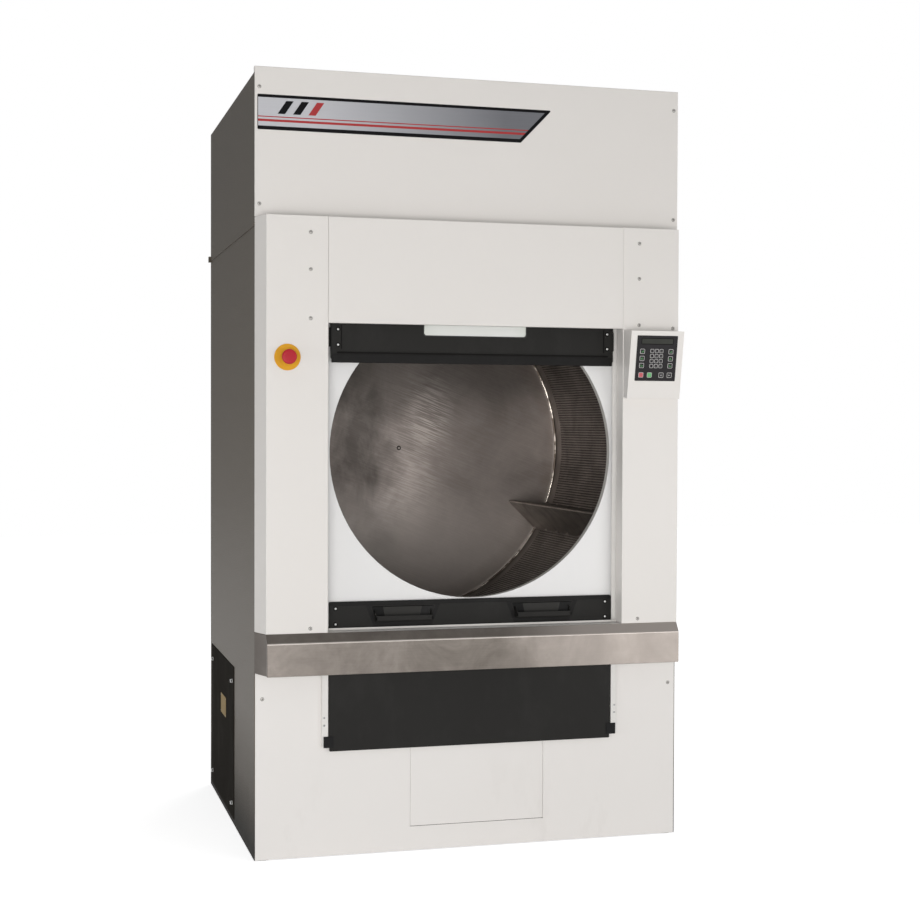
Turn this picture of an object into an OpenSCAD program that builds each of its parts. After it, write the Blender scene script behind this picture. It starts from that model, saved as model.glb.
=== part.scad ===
// Industrial tumble dryer with two sliding doors that move apart together.
// Millimetres, +Z up. The front looks along -Y and the machine stands on Z = 0.
// Depths are counted from the plane of the front panels, which is Y = 0 until
// machine() moves it so that the whole object is centred.

/* [Cabinet] */
// Width over the side panels
cab_w = 1345; // [1300:1:1420]
// Height of the top front panel above the floor
cab_h = 2360; // [2300:1:2500]
// Thickness of the outer sheet
sheet = 2; // [1.5:0.1:3]
// Gap under the side, front and rear panels
skirt_gap = 3; // [2:0.5:8]
// Gap under the frame
foot_gap = 12; // [10:1:25]
// Leg of the angle irons in the frame
frame_leg = 50; // [44:1:56]
// Thickness of the angle irons
frame_t = 5; // [4:0.5:8]
// How far the roof lies under the edge of the top front panel
roof_drop = 17; // [5:1:40]
// How far the lip on the seam stands out of the side
lip_proud = 3; // [2:0.5:5]

/* [Front housing] */
// Depth of the housing in front of the front panels
housing_d = 70; // [66:1:90]
// Thickness of the housing's sheet
housing_t = 1.5; // [1:0.1:2]
// Width of each column
column_w = 208.5; // [195:0.5:220]
// How much each side of the housing slants in
housing_taper = 24.5; // [10:0.5:35]
// Height of the header's lower edge above the drum's axis
header_rise = 384; // [370:1:400]
// Gap between the columns' inner walls and the glides' front tabs
column_slot = 1.5; // [1:0.5:5]

/* [Sill] */
// Depth of the sill
sill_d = 90; // [80:1:110]
// Height of the sill's front face
sill_h = 96.5; // [80:0.5:110]
// Rise of the slope behind the front face
sill_rise = 27; // [15:1:35]
// Space between the sill and the door's handles
sill_clear = 22; // [14:1:26]

/* [Opening and drum] */
// Height of the drum's axis
axis_z = 1219; // [1200:1:1260]
// Ring of front plate left between the opening and a track
opening_margin = 5; // [4:1:20]
// Depth of the opening's rim
rim_d = 25; // [15:1:28]
// Thickness of the rim
rim_t = 2; // [1.5:0.1:3]
// Gap between the drum and the corner posts
drum_clear = 14; // [10:1:30]
// Thickness of the drum's sheet
drum_sheet = 2; // [1.5:0.1:3]
// Distance from the front panels to the drum
drum_front = 40; // [38:1:60]
// Length of the drum
drum_len = 945; // [850:5:1050]
// How far the front ring's mouth is wider than the opening, on the radius
mouth_extra = 23; // [18:1:40]
// Width of a lifter at the wall
lifter_w = 105; // [80:1:130]
// Height of a lifter
lifter_h = 147; // [100:1:170]
// Number of lifters
lifter_n = 4; // [3:1:4]
// Angle of the first lifter above the right-hand horizontal
lifter_turn = -25; // [-40:1:0]

/* [Doors] */
// Thickness of a door
door_t = 10; // [8:0.5:12]
// Sheet of a door
door_sheet = 1.5; // [1:0.1:2]
// Gap between the lower door and the front panels
door_gap = 2; // [1.5:0.5:3]
// Gap between the planes of the two doors
door_pass = 4; // [3.5:0.5:6]
// Height of the lower door
lower_door_h = 450; // [440:1:460]
// Height of the upper door
upper_door_h = 424; // [410:1:440]
// Distance that the lower door rises
lower_travel = 440; // [430:1:446]
// How far the doors overlap when they are shut
door_lap = 8; // [4:1:12]
// Height of the meeting line under the drum's axis
meet_drop = 13; // [5:1:20]
// Gap between the upper door and its track's edge
upper_door_side = 4; // [3:0.5:5]
// Gap between the lower door and its track's edge
lower_door_side = 2; // [1.5:0.5:3]
// Width of the window
window_w = 328; // [250:1:400]
// Height of the window
window_h = 250; // [150:1:270]
// Height of the window above the upper door's lower edge
window_rise = 83; // [75:1:95]
// Thickness of the window glass
glass_t = 4; // [3:0.5:5]

/* [Door tracks] */
// Width of a track
track_w = 18.5; // [17:0.5:20]
// Thickness of a track
track_t = 11; // [10:0.5:11.5]
// Thickness of the strip in front of the groove
strip_w = 3; // [2:0.5:3.5]
// Depth of the groove that the glides run in
groove_d = 7.5; // [5:0.5:8]
// Gap round a glide's tongue
glide_gap = 0.5; // [0.3:0.1:0.8]
// Depth of the web that stiffens a track inside its column
web_d = 15; // [8:1:18]

/* [Handles] */
// Width of a handle
handle_w = 200; // [160:1:220]
// Height of a handle
handle_h = 47; // [45:1:54]
// How far the grip stands out of the door
grip_d = 25; // [18:1:28]
// Distance from the middle of the door to a handle's middle
handle_x = 222; // [180:1:260]

/* [Door drive] */
// Pitch radius of the lower door's belt pulleys
big_pulley_r = 40; // [38:0.5:41]
// Pitch radius of the upper door's belt pulleys
small_pulley_r = 26; // [25:0.5:27]
// Thickness of the door belts
door_belt_t = 4; // [3:0.5:5]
// Width of the door belts
door_belt_w = 10; // [8:0.5:10]
// Radius of the stub shafts that the door pulleys turn on
stub_r = 8; // [6:0.5:10]

/* [Drum drive] */
// Radius of the drum shaft
shaft_r = 35; // [30:1:38]
// Radius of the drum pulley's belt seat
drum_pulley_r = 290; // [260:1:300]
// Radius of the jackshaft's small belt seat
jack_small_r = 43; // [38:1:50]
// Radius of the jackshaft's large belt seat
jack_large_r = 135; // [120:1:140]
// Radius of the motor pulley's belt seat
motor_pulley_r = 35; // [30:1:40]
// Thickness of the drive belts
drive_belt_t = 10; // [8:0.5:12]
// Width of the drum belt
drum_belt_w = 34; // [26:1:36]
// Width of the motor belt
motor_belt_w = 26; // [20:1:28]
// Sideways place of the jackshaft
jack_x = 340; // [330:1:350]
// Distance of the jackshaft below the drum's axis
jack_drop = 459; // [450:1:470]
// Sideways place of the drive motor
motor_x = 470; // [460:1:485]
// Height of the drive motor
motor_z = 420; // [400:1:440]
// Radius of the drive motor
motor_r = 85; // [70:1:90]
// Length of the drive motor
motor_l = 230; // [200:1:260]

/* [Blower and exhaust] */
// Radius of the blower wheel
wheel_r = 180; // [160:1:190]
// Width of the blower wheel
wheel_w = 260; // [220:1:270]
// Inner radius of the blower's scroll
scroll_r = 227; // [210:1:229]
// Sideways place of the blower
blower_x = -120; // [-140:1:-110]
// Depth of the blower's axis
blower_y = 800; // [780:1:810]
// Outer radius of the exhaust collar
exhaust_r = 150; // [120:1:150]
// Length of the exhaust collar outside the cabinet
exhaust_l = 80; // [50:1:100]
// Radius of the blower motor
blower_motor_r = 95; // [80:1:100]
// Length of the blower motor
blower_motor_l = 270; // [200:1:280]

/* [Heater] */
// Width of the steam coil
coil_w = 900; // [800:10:1000]
// Depth of the steam coil
coil_d = 400; // [300:10:450]
// Height of the steam coil
coil_h = 300; // [250:5:320]
// Outer radius of the steam pipes
pipe_r = 21.1; // [17:0.1:24]

/* [Control box] */
// Width of the control box
box_w = 174; // [160:1:176]
// Depth of the control box at its top edge
box_top_d = 68; // [60:1:80]
// Depth of the control box at its lower edge
box_low_d = 30; // [25:1:40]
// Height of the control box at the back
box_h = 208.5; // [200:0.5:215]
// Wall of the control box
box_t = 2; // [1.5:0.1:3]
// Width of the keypad
keypad_w = 133; // [120:1:140]
// Height of the keypad
keypad_h = 141; // [135:1:150]

/* [Emergency stop] */
// Radius of the yellow plate
stop_plate_r = 39.25; // [35:0.25:42]
// Radius of the mushroom button
stop_button_r = 22; // [18:0.5:24]
// How far the button stands out of the column
stop_reach = 40; // [33:1:45]
// Travel of the button
stop_travel = 5; // [3:0.5:6]

/* [Lower front and side] */
// Width of the lint compartment's cover
cover_w = 427.5; // [350:0.5:450]
// Height of that cover
cover_h = 440; // [350:1:450]
// Height of the cover's lower edge
cover_z = 76; // [70:1:90]
// Width of the black access panel on the left side
access_w = 600; // [500:1:605]
// Height of that access panel
access_h = 497; // [400:1:520]

/* [Screws] */
// Radius of a panel screw's head
screw_head_r = 5; // [4:0.1:6]
// Height of a panel screw's head
screw_head_h = 2.5; // [1.5:0.1:3]
// Radius of a panel screw's shank
screw_r = 2.2; // [1.8:0.1:2.5]

/* [Hidden] */
$fn = 72;
fit = 0.3;                 // gap between pieces that sit against each other
run_fit = 0.05;            // radial clearance of a shaft in its bore
run_inset = 0.02;          // a belt's straight runs lie this far inside its arcs' faces
run_lap = 0.5;             // and reach this far into the arcs
cab_x = cab_w / 2;
in_x = cab_x - sheet - 0.5;           // outer face of the frame
post_x = in_x - frame_leg;
bay_x = cab_x - column_w;
face_x = cab_x - housing_taper;       // the housing's front corner
track_in = bay_x - 12;
track_out = track_in + track_w;
upper_x = track_in - upper_door_side;
lower_x = track_in - lower_door_side;
opening_r = track_in - opening_margin;

// Drum and the depth of the cabinet
drum_r = post_x - drum_clear - drum_sheet;
drum_back = drum_front + drum_len;
back_t = 3;
hub_t = 14;
boss_l = 10;
frame_front = drum_back + back_t + hub_t + boss_l + 4;
channel_d = 70;
channel_w = 60;
cab_d = frame_front + channel_d + sheet;
in_back = cab_d - sheet;
ring_t = 3;
mouth_r = opening_r + mouth_extra;

// Heights
top_clear = 18;
seam_z = axis_z + drum_r + drum_sheet + top_clear + frame_leg + sheet;
frame_top = seam_z - sheet;
pan_z = foot_gap + frame_leg;
meet_z = axis_z - meet_drop;
lower_shut = meet_z + door_lap / 2 - lower_door_h;
lower_open = lower_shut - lower_travel;
lower_top = lower_open + lower_door_h;
upper_travel = lower_travel * small_pulley_r / big_pulley_r;
upper_shut = meet_z - door_lap / 2;
upper_open = upper_shut + upper_travel;
upper_top = upper_open + upper_door_h;
housing_top = upper_top + 2.5 + housing_t;
header_z = axis_z + header_rise;
handle_drop = 15;                     // from the lower door's top to a handle
handle_slant = 19;                    // how much a handle narrows on each side towards its foot
handle_z = lower_top - handle_drop - handle_h;
sill_top = handle_z - sill_clear;
sill_edge = sill_top - sill_rise;
sill_z = sill_edge - sill_h;
panel_seam = sill_z + 8;              // between the front plate and the lower panel
plate_top = housing_top - 22;         // top of the front plate, behind the header

// Depths of the doors, their brackets and belts, counted forward
lower_back = -door_gap;
lower_front = lower_back - door_t;
upper_back = lower_front - door_pass;
upper_front = upper_back - door_t;
strip_t = 2.5;                       // end strips on the upper door's face
arm_back = -2.5;                     // the brackets' arms pass behind the tracks
arm_front = -track_t + strip_w + 2.5;
lower_belt_y = lower_front - 2.5 - door_belt_w;
upper_belt_y = lower_belt_y - 7 - door_belt_w;
pulley_x = bay_x + 76;
pulley_high = housing_top - 56;
pulley_low = sill_top - 61;
flange_r = big_pulley_r + door_belt_t;
jaw_t = 3.7;
lower_run = pulley_x - big_pulley_r;      // belt run that carries the lower door
upper_run = pulley_x + small_pulley_r;    // belt run that carries the upper door

// Tongue and groove of the tracks, in depth
tab_t = 2.5;
tongue_back = -glide_gap;
tongue_front = -track_t + strip_w + glide_gap;
tongue_x = track_in + groove_d - glide_gap;
upper_glide_z = 48;
upper_glide_h = 56;
lower_glide_z = 12;
lower_glide_h = 34;
lower_glide_step = 308;

// Brackets of the doors, in height
lower_arm_top = lower_top - 5;
lower_arm_h = 70;
upper_arm_low = upper_open + 150;
upper_arm_h = 64;
end_strip_low = upper_open + 45;
end_strip_h = 64;

// Drive train at the back
box_half = 140;
box_plate = 10;
box_back = cab_d + 62;
bearing_l = 40;
jack_r = 15;
jack_z = axis_z - jack_drop;
motor_plane = box_back + 4;
cheek_t = 3;
motor_sheave_w = motor_belt_w + 1 + 2 * cheek_t;
drum_plane = box_back + bearing_l + 10;
drum_sheave_w = drum_belt_w + 1 + 2 * cheek_t;
shaft_end = drum_plane + drum_sheave_w + 14;
motor_shaft_r = 12;

// Blower, lint screen and upper housing
scroll_t = 3;
scroll_w = wheel_w + 54;
blower_z = pan_z + sheet + 24 + scroll_t + scroll_r;
outlet_h = 2 * exhaust_r + 2;
outlet_z = blower_z - scroll_r;
exhaust_z = outlet_z + outlet_h / 2;
drum_low = axis_z - drum_r - drum_sheet;
screen_top = drum_low - 40;
screen_h = 20;
screen_back = 690;
roof_z = cab_h - roof_drop;
coil_y = 350;
coil_t = 3;                          // sheet of the coil's casing

// Small fittings
box_in = bay_x + 2;
box_z = header_z - 3.5;
box_face_z = 5.5;                    // drop of the front top edge
box_foot_z = 5;                      // drop of the front lower edge
box_lean = atan2(box_top_d - box_low_d, box_h - box_face_z + box_foot_z);
keypad_drop = 14.5;
keypad_t = 1.5;
stop_x = -bay_x - 122;
stop_z = header_z - 103;
stop_barrel_r = 11;
stop_stem_r = 5;
stop_collar = 10;                     // height of the collar round the stem
stop_seat = 6;                        // from the button's face to the end of the stem
access_y = cab_d - 43 - access_w;
access_z = 20;
cover_x = 18;                        // middle of the cover
screw_l = 9;

// Reach in front of and behind the front panels, which centres the object
reach_front = max(housing_d + box_top_d, sill_d);
reach_back = shaft_end;
front_y = (reach_front - reach_back) / 2;

sides = [-1, 1];
top_screws = [for (s = sides, z = [cab_h - 60, housing_top + 39]) [s * (cab_x - 14), z]];
column_screws = [for (z = [housing_top - 48, housing_top - 157, header_z + 12, sill_top + 14])
    [bay_x + 53, z]];
corner_screw = [face_x - 18, header_z + 4];
lower_screws = [for (s = sides) [s * (cab_x - 23.5), panel_seam - 86]];
track_screws = [lower_open + 79, lower_open + 102, lower_open + 300, housing_top - 180,
    housing_top - 100, housing_top - 30];
track_screw_x = track_in + 11.5;

white = [0.87, 0.86, 0.84];
black = [0.19, 0.19, 0.18];
dark_side = [0.36, 0.35, 0.33];
steel = [0.62, 0.61, 0.60];
dark_steel = [0.34, 0.31, 0.29];

// Moves the front panels' plane to its place in the centred object
module machine() {
    translate([0, front_y, 0]) children();
}

// A block between two corners
module block(low, high) {
    translate(low) cube(high - low);
}

// Stands a drawing of X and Z up, from depth y backwards by w
module upright(y, w) {
    translate([0, y + w, 0]) rotate([90, 0, 0]) children();
}

// A round bar along Y
module bar_y(x, z, y0, y1, r) {
    upright(y0, y1 - y0) translate([x, z]) cylinder(r = r, h = y1 - y0);
}

// A round bar along X
module bar_x(x0, x1, y, z, r) {
    translate([x0, y, z]) rotate([0, 90, 0]) cylinder(r = r, h = x1 - x0);
}

// A ring about an axis along Y
module ring_y(x, z, y0, y1, r_in, r_out) {
    difference() {
        bar_y(x, z, y0, y1, r_out);
        bar_y(x, z, y0 - 1, y1 + 1, r_in);
    }
}

// A rectangle with round corners, from one corner at the origin
module round_rect(w, h, r) {
    translate([r, 0]) square([w - 2 * r, h]);
    translate([0, r]) square([w, h - 2 * r]);
    for (x = [r, w - r], y = [r, h - r]) translate([x, y]) circle(r);
}

// Holes for panel screws at places in X and Z
module screw_holes(places, y0, y1) {
    for (p = places) bar_y(p[0], p[1], y0, y1, screw_r + 0.1);
}

// A panel screw whose head lies on the plane y
module screw(x, y, z, l) {
    bar_y(x, z, y - screw_head_h, y, screw_head_r);
    bar_y(x, z, y - 0.01, y + l, screw_r);
}

// A belt round two pulleys, its inner face at radius ra and rb
module belt(a, ra, b, rb, y, w, t) {
    d = norm(b - a);
    lie = atan2(b[1] - a[1], b[0] - a[0]);
    wrap = acos((ra - rb) / d);
    run = sqrt(d * d - (ra - rb) * (ra - rb));
    upright(y, w) {
        translate(a) rotate(lie + wrap) rotate_extrude(angle = 360 - 2 * wrap)
            translate([ra, 0]) square([t, w]);
        translate(b) rotate(lie - wrap) rotate_extrude(angle = 2 * wrap)
            translate([rb, 0]) square([t, w]);
        for (e = [[lie + wrap, -run], [lie - wrap, 0]])
            translate(a) rotate(e[0]) translate([ra + run_inset, e[1] - run_lap, run_inset])
                cube([t - 2 * run_inset, run + 2 * run_lap, w - 2 * run_inset]);
    }
}

// A pulley about a Y axis: seat of radius r between two cheeks
module sheave(x, z, y, w, r, cheek, bore, hub_r) {
    difference() {
        union() {
            bar_y(x, z, y, y + w, r);
            bar_y(x, z, y, y + cheek_t, r + cheek);
            bar_y(x, z, y + w - cheek_t, y + w, r + cheek);
        }
        if (r > 2 * hub_r) {
            for (y0 = [y - 1, y + w * 0.62])
                ring_y(x, z, y0, y0 + w * 0.38 + 1, hub_r, r - 14);
        }
        bar_y(x, z, y - 1, y + w + 1, bore);
    }
}

// Half of the plan of a column cover, for the right-hand side
module column_plan(grow) {
    polygon([[bay_x + grow, 1], [bay_x + grow, -housing_d + grow],
        [face_x - grow, -housing_d + grow], [cab_x - grow, 0], [cab_x - grow, 1]]);
}

// Cover of the right-hand column, open at its back and foot
module column_shell() {
    h = housing_top - sill_top - fit;
    translate([0, 0, sill_top + fit]) {
        difference() {
            linear_extrude(h) column_plan(0);
            translate([0, 0, -1]) linear_extrude(h - housing_t + 1) column_plan(housing_t);
            block([bay_x - 1, lower_front - tab_t - column_slot, -1], [bay_x + 3, 2, h + 1]);
            block([0, 0, -1], [cab_x + 1, 2, h + 1]);
        }
    }
}

// Vertical angle iron with its corner at the outer side
module post(sx, y0, y1, outer_y) {
    leg_y = outer_y ? y1 - frame_t : y0;
    block([min(sx * in_x, sx * (in_x - frame_t)), y0, pan_z],
        [max(sx * in_x, sx * (in_x - frame_t)), y1, frame_top]);
    block([min(sx * in_x, sx * post_x), leg_y, pan_z],
        [max(sx * in_x, sx * post_x), leg_y + frame_t, frame_top]);
}

// Ring of angle irons at height z, the flat leg at the bottom or at the top
module frame_ring(z, flat_top) {
    flat = flat_top ? z + frame_leg - frame_t : z;
    y0 = sheet + fit;
    y1 = in_back - fit;
    difference() {
        block([-in_x, y0, z], [in_x, y1, z + frame_leg]);
        block([-in_x + frame_t, y0 + frame_t, z - 1],
            [in_x - frame_t, y1 - frame_t, z + frame_leg + 1]);
    }
    difference() {
        block([-in_x, y0, flat], [in_x, y1, flat + frame_t]);
        block([-post_x, y0 + frame_leg, flat - 1], [post_x, y1 - frame_leg, flat + frame_t + 1]);
    }
}

foot_x = in_x - frame_leg / 2;
foot_ys = [sheet + fit + frame_leg / 2, in_back - fit - frame_leg / 2];
foot_r = 24;
foot_stud_r = 8;

// Welded frame: lower ring with its floor pan, posts, upper ring and screen rails
module base_frame() machine() color(dark_steel) difference() {
    y0 = sheet + fit;
    y1 = in_back - fit;
    rail_z = screen_top - screen_h - frame_t;
    union() {
        frame_ring(foot_gap, false);
        block([-in_x, y0, pan_z - fit], [in_x, y1, pan_z + sheet]);
        for (s = sides) {
            post(s, y0, y0 + frame_leg, false);
            post(s, y1 - frame_leg, y1, true);
            block([min(s * in_x, s * (post_x - 10)), y0 + frame_t, rail_z],
                [max(s * in_x, s * (post_x - 10)), screen_back + 30, rail_z + frame_t]);
        }
        frame_ring(frame_top - frame_leg, true);
    }
    for (s = sides, y = foot_ys) translate([s * foot_x, y, 0]) cylinder(r = foot_stud_r + fit,
        h = foot_gap + frame_t + 1);
    screw_holes(lower_screws, 0, y0 + frame_t + 1);
    screw_holes([for (s = sides) [s * track_screw_x, track_screws[5]]], 0, y0 + frame_t + 1);
}

// Four feet with a nut above the frame's flat leg
module levelling_feet() machine() color(steel) {
    for (s = sides, y = foot_ys) translate([s * foot_x, y, 0]) {
        cylinder(r = foot_r, h = foot_gap - 4);
        cylinder(r = foot_stud_r, h = foot_gap + frame_t + 16);
        translate([0, 0, foot_gap - 4]) cylinder(r = 13, h = 4);
        translate([0, 0, foot_gap + frame_t + fit]) cylinder(r = 13, h = 8);
    }
}

module side_panel(s) {
    block([min(s * cab_x, s * (cab_x - sheet)), 0, skirt_gap],
        [max(s * cab_x, s * (cab_x - sheet)), cab_d, seam_z - 1]);
}

cut_border = 16;                     // side panel under the access panel's edge
access_t = 2;                        // the access panel's sheet
block_proud = 3 * lip_proud;         // the lip's rear block and the latches reach this far out

module left_side_panel() machine() color(dark_side) difference() {
    side_panel(-1);
    block([-cab_x - 1, access_y + cut_border, access_z + cut_border],
        [-cab_x + sheet + 1, access_y + access_w - cut_border, access_z + access_h - cut_border]);
}

module right_side_panel() machine() color(dark_side) side_panel(1);

module side_access_panel() machine() color(black) {
    block([-cab_x - access_t, access_y, access_z], [-cab_x, access_y + access_w, access_z + access_h]);
}

// Quarter-turn studs, each a flange, a neck and a knob
module panel_latches() machine() color(steel) {
    face = -cab_x - access_t;
    tip = -cab_x - block_proud;
    for (y = [access_y + 40, access_y + access_w - 42], z = [access_z + 48, access_z + access_h - 50]) {
        bar_x(face - 1.5, face, y, z, 7);
        bar_x(tip + 2, face - 1.4, y, z, 3.5);
        bar_x(tip, tip + 2.5, y, z, 6);
    }
}

module rear_panel() machine() color(dark_side) difference() {
    block([-in_x, in_back, skirt_gap], [in_x, cab_d, seam_z - 1]);
    block([-box_half - fit, in_back - 1, axis_z - box_half - fit],
        [box_half + fit, cab_d + 1, axis_z + box_half + fit]);
    bar_y(blower_x, exhaust_z, in_back - 1, cab_d + 1, exhaust_r + fit);
    bar_y(motor_x, motor_z, in_back - 1, cab_d + 1, motor_shaft_r + 8);
    bar_y(gland_x, gland_z, in_back - 1, cab_d + 1, gland_r + fit);
}

// White panel under the sill, with the cover's cut-out
module lower_front_panel() machine() color(white) difference() {
    block([-cab_x + sheet + fit, 0, skirt_gap], [cab_x - sheet - fit, sheet, panel_seam - 0.5]);
    block([cover_x - cover_w / 2, -1, cover_z], [cover_x + cover_w / 2, sheet + 1, cover_z + cover_h]);
    screw_holes(lower_screws, -1, sheet + 1);
    screw_holes([for (s = sides, z = track_screws) if (z < panel_seam) [s * track_screw_x, z]],
        -1, sheet + 1);
}

// Lift-off cover: a flush plate with a lip behind the panel's cut-out
module lint_cover() machine() color(white) {
    gap = 1;
    lip = 14;
    x0 = cover_x - cover_w / 2;
    x1 = cover_x + cover_w / 2;
    block([x0 + gap, 0, cover_z + gap], [x1 - gap, sheet + fit, cover_z + cover_h - gap]);
    block([x0 - lip, sheet + fit, cover_z + gap], [x1 + lip, 2 * sheet + fit, cover_z + cover_h + lip]);
}

// White plate with the round opening
module front_plate() machine() color(white) difference() {
    block([-cab_x + sheet + fit, 0, panel_seam], [cab_x - sheet - fit, sheet, plate_top]);
    bar_y(0, axis_z, -1, sheet + 1, opening_r);
    screw_holes([for (s = sides, z = track_screws) if (z > panel_seam && z < plate_top)
        [s * track_screw_x, z]], -1, sheet + 1);
}

// Rim that lines the opening and bolts to the back of the front plate
module opening_rim() machine() color([0.75, 0.75, 0.74]) {
    ring_y(0, axis_z, sheet, rim_d, opening_r, opening_r + rim_t);
    ring_y(0, axis_z, sheet, sheet + rim_t, opening_r + rim_t - 0.01, opening_r + 16);
}

// Felt ring between the rim and the drum's mouth
module drum_seal() machine() color([0.25, 0.22, 0.20]) {
    ring_y(0, axis_z, rim_d - 12, rim_d, opening_r + rim_t + fit, mouth_r - 2 * fit);
    ring_y(0, axis_z, sheet + rim_t + fit, rim_d - 12 + fit, opening_r + rim_t + fit, opening_r + 12);
}

module left_column_cover() machine() color(white) difference() {
    mirror([1, 0, 0]) column_shell();
    screw_holes([for (p = column_screws) [-p[0], p[1]]], -housing_d - 1, -housing_d + housing_t + 1);
    bar_y(stop_x, stop_z, -housing_d - 1, -housing_d + housing_t + 1, stop_barrel_r + fit);
}

module right_column_cover() machine() color(white) difference() {
    column_shell();
    screw_holes(column_screws, -housing_d - 1, -housing_d + housing_t + 1);
    screw_holes([corner_screw], -housing_d - 1, -housing_d + housing_t + 1);
    bar_y(box_in + box_w / 2, box_z - 60, -housing_d - 1, -housing_d + housing_t + 1, 16);
}

// Header panel between the columns, with flanges at its edges
module upper_front_panel() machine() color(white) {
    x = bay_x - fit;
    block([-x, -housing_d, header_z], [x, -housing_d + housing_t, housing_top]);
    block([-x, -housing_d, header_z], [x, -housing_d + 20, header_z + housing_t]);
    block([-x, -housing_d, housing_top - housing_t], [x, 0, housing_top]);
    for (s = sides) block([min(s * x, s * (x - housing_t)), -housing_d, header_z],
        [max(s * x, s * (x - housing_t)), -housing_d + 20, housing_top]);
}

// Outline of the sill in Y and Z, shrunk by grow
module sill_outline(grow, back) {
    polygon([[-sill_d + grow, sill_z + grow], [-sill_d + grow, sill_edge - grow * 0.4],
        [-housing_d + grow * 0.4, sill_top - grow], [back, sill_top - grow], [back, sill_z + grow]]);
}

// Stainless sill: hollow, open behind, with the belts' passages in its top
module sill() machine() color([0.59, 0.55, 0.53]) {
    t = 2;
    back = upper_back - 2;
    end_x = track_out + 9;
    difference() {
        intersection() {
            translate([-cab_x, 0, 0]) rotate([90, 0, 90]) linear_extrude(cab_w) sill_outline(0, 0);
            linear_extrude(2 * cab_h) polygon([[-cab_x, 0], [-face_x, -housing_d],
                [-face_x, -sill_d], [face_x, -sill_d], [face_x, -housing_d], [cab_x, 0]]);
        }
        intersection() {
            translate([-cab_x, 0, 0]) rotate([90, 0, 90]) linear_extrude(cab_w) sill_outline(t, 1);
            linear_extrude(2 * cab_h) polygon([[-cab_x + t, 1], [-face_x + t, -housing_d],
                [-face_x + t, -sill_d], [face_x - t, -sill_d], [face_x - t, -housing_d],
                [cab_x - t, 1]]);
        }
        block([-end_x, back, sill_z - 1], [end_x, 1, sill_top + 1]);
        for (s = sides) block([min(s * (pulley_x - 46), s * (pulley_x + 46)), -50, sill_top - t - 1],
            [max(s * (pulley_x - 46), s * (pulley_x + 46)), -5, sill_top + 1]);
    }
}

module top_front_panel() machine() color(white) difference() {
    z0 = housing_top + 1;
    union() {
        block([-cab_x, 0, z0], [cab_x, sheet, cab_h]);
        block([-cab_x, 0, cab_h - sheet], [cab_x, 20, cab_h]);
        for (s = sides) block([min(s * cab_x, s * (cab_x - sheet)), 0, roof_z + fit],
            [max(s * cab_x, s * (cab_x - sheet)), 20, cab_h]);
    }
    screw_holes(top_screws, -1, sheet + 1);
}

trim_w = 815;                        // along its lower edge
trim_slant = 100;
trim_h = 104;
trim_drop = 186;                     // from the panel's top to the trim's lower edge
trim_t = 0.8;

// Thin plate for the trim on the top front panel
module trim_band() machine() color([0.45, 0.44, 0.44]) {
    x0 = -cab_x + 8;
    z0 = cab_h - trim_drop;
    upright(-trim_t, trim_t) linear_extrude(trim_t) polygon([[x0, z0], [x0 + trim_w, z0],
        [x0 + trim_w + trim_slant, z0 + trim_h], [x0, z0 + trim_h]]);
}

louvre_x = 280;                      // half a louvre's width
louvre_step = (roof_z - seam_z) / 17;

// Roof, back, sides and floor of the heater's housing
module upper_housing() machine() color(dark_side) difference() {
    floor_z = seam_z;
    union() {
        for (s = sides) {
            block([min(s * cab_x, s * (cab_x - sheet)), sheet + fit, floor_z],
                [max(s * cab_x, s * (cab_x - sheet)), cab_d, roof_z]);
            block([min(s * cab_x, s * (cab_x + lip_proud)), sheet + fit, seam_z - 6],
                [max(s * cab_x, s * (cab_x + lip_proud)), cab_d, seam_z + 6]);
            block([min(s * cab_x, s * (cab_x + block_proud)), cab_d - 18, seam_z - 10],
                [max(s * cab_x, s * (cab_x + block_proud)), cab_d, seam_z + 10]);
        }
        block([-cab_x, sheet + fit, roof_z - sheet], [cab_x, cab_d, roof_z]);
        block([-cab_x, in_back, floor_z], [cab_x, cab_d, roof_z]);
        block([-cab_x, sheet + fit, floor_z], [cab_x, cab_d, floor_z + sheet]);
    }
    block([-coil_w / 2 + 20, coil_y + 20, floor_z - 1],
        [coil_w / 2 - 20, coil_y + coil_d - 20, floor_z + sheet + 1]);
    for (i = [4:11]) block([-louvre_x, in_back - 1, floor_z + louvre_step * i],
        [louvre_x, cab_d + 1, floor_z + louvre_step * (i + 0.5)]);
    for (z = pipe_zs) bar_y(pipe_x, z, in_back - 1, cab_d + 1, pipe_r + fit);
}

module panel_screws() machine() color(steel) {
    for (p = top_screws) screw(p[0], 0, p[1], screw_l);
    for (p = column_screws, s = sides) screw(s * p[0], -housing_d, p[1], screw_l);
    screw(corner_screw[0], -housing_d, corner_screw[1], screw_l);
    for (p = lower_screws) screw(p[0], 0, p[1], screw_l);
    for (s = sides, z = track_screws) {
        bar_y(s * track_screw_x, z, -track_t + 0.2, -track_t + 2.2, 3.6);
        bar_y(s * track_screw_x, z, -track_t + 2, sheet + 4, 2);
    }
}

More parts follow.
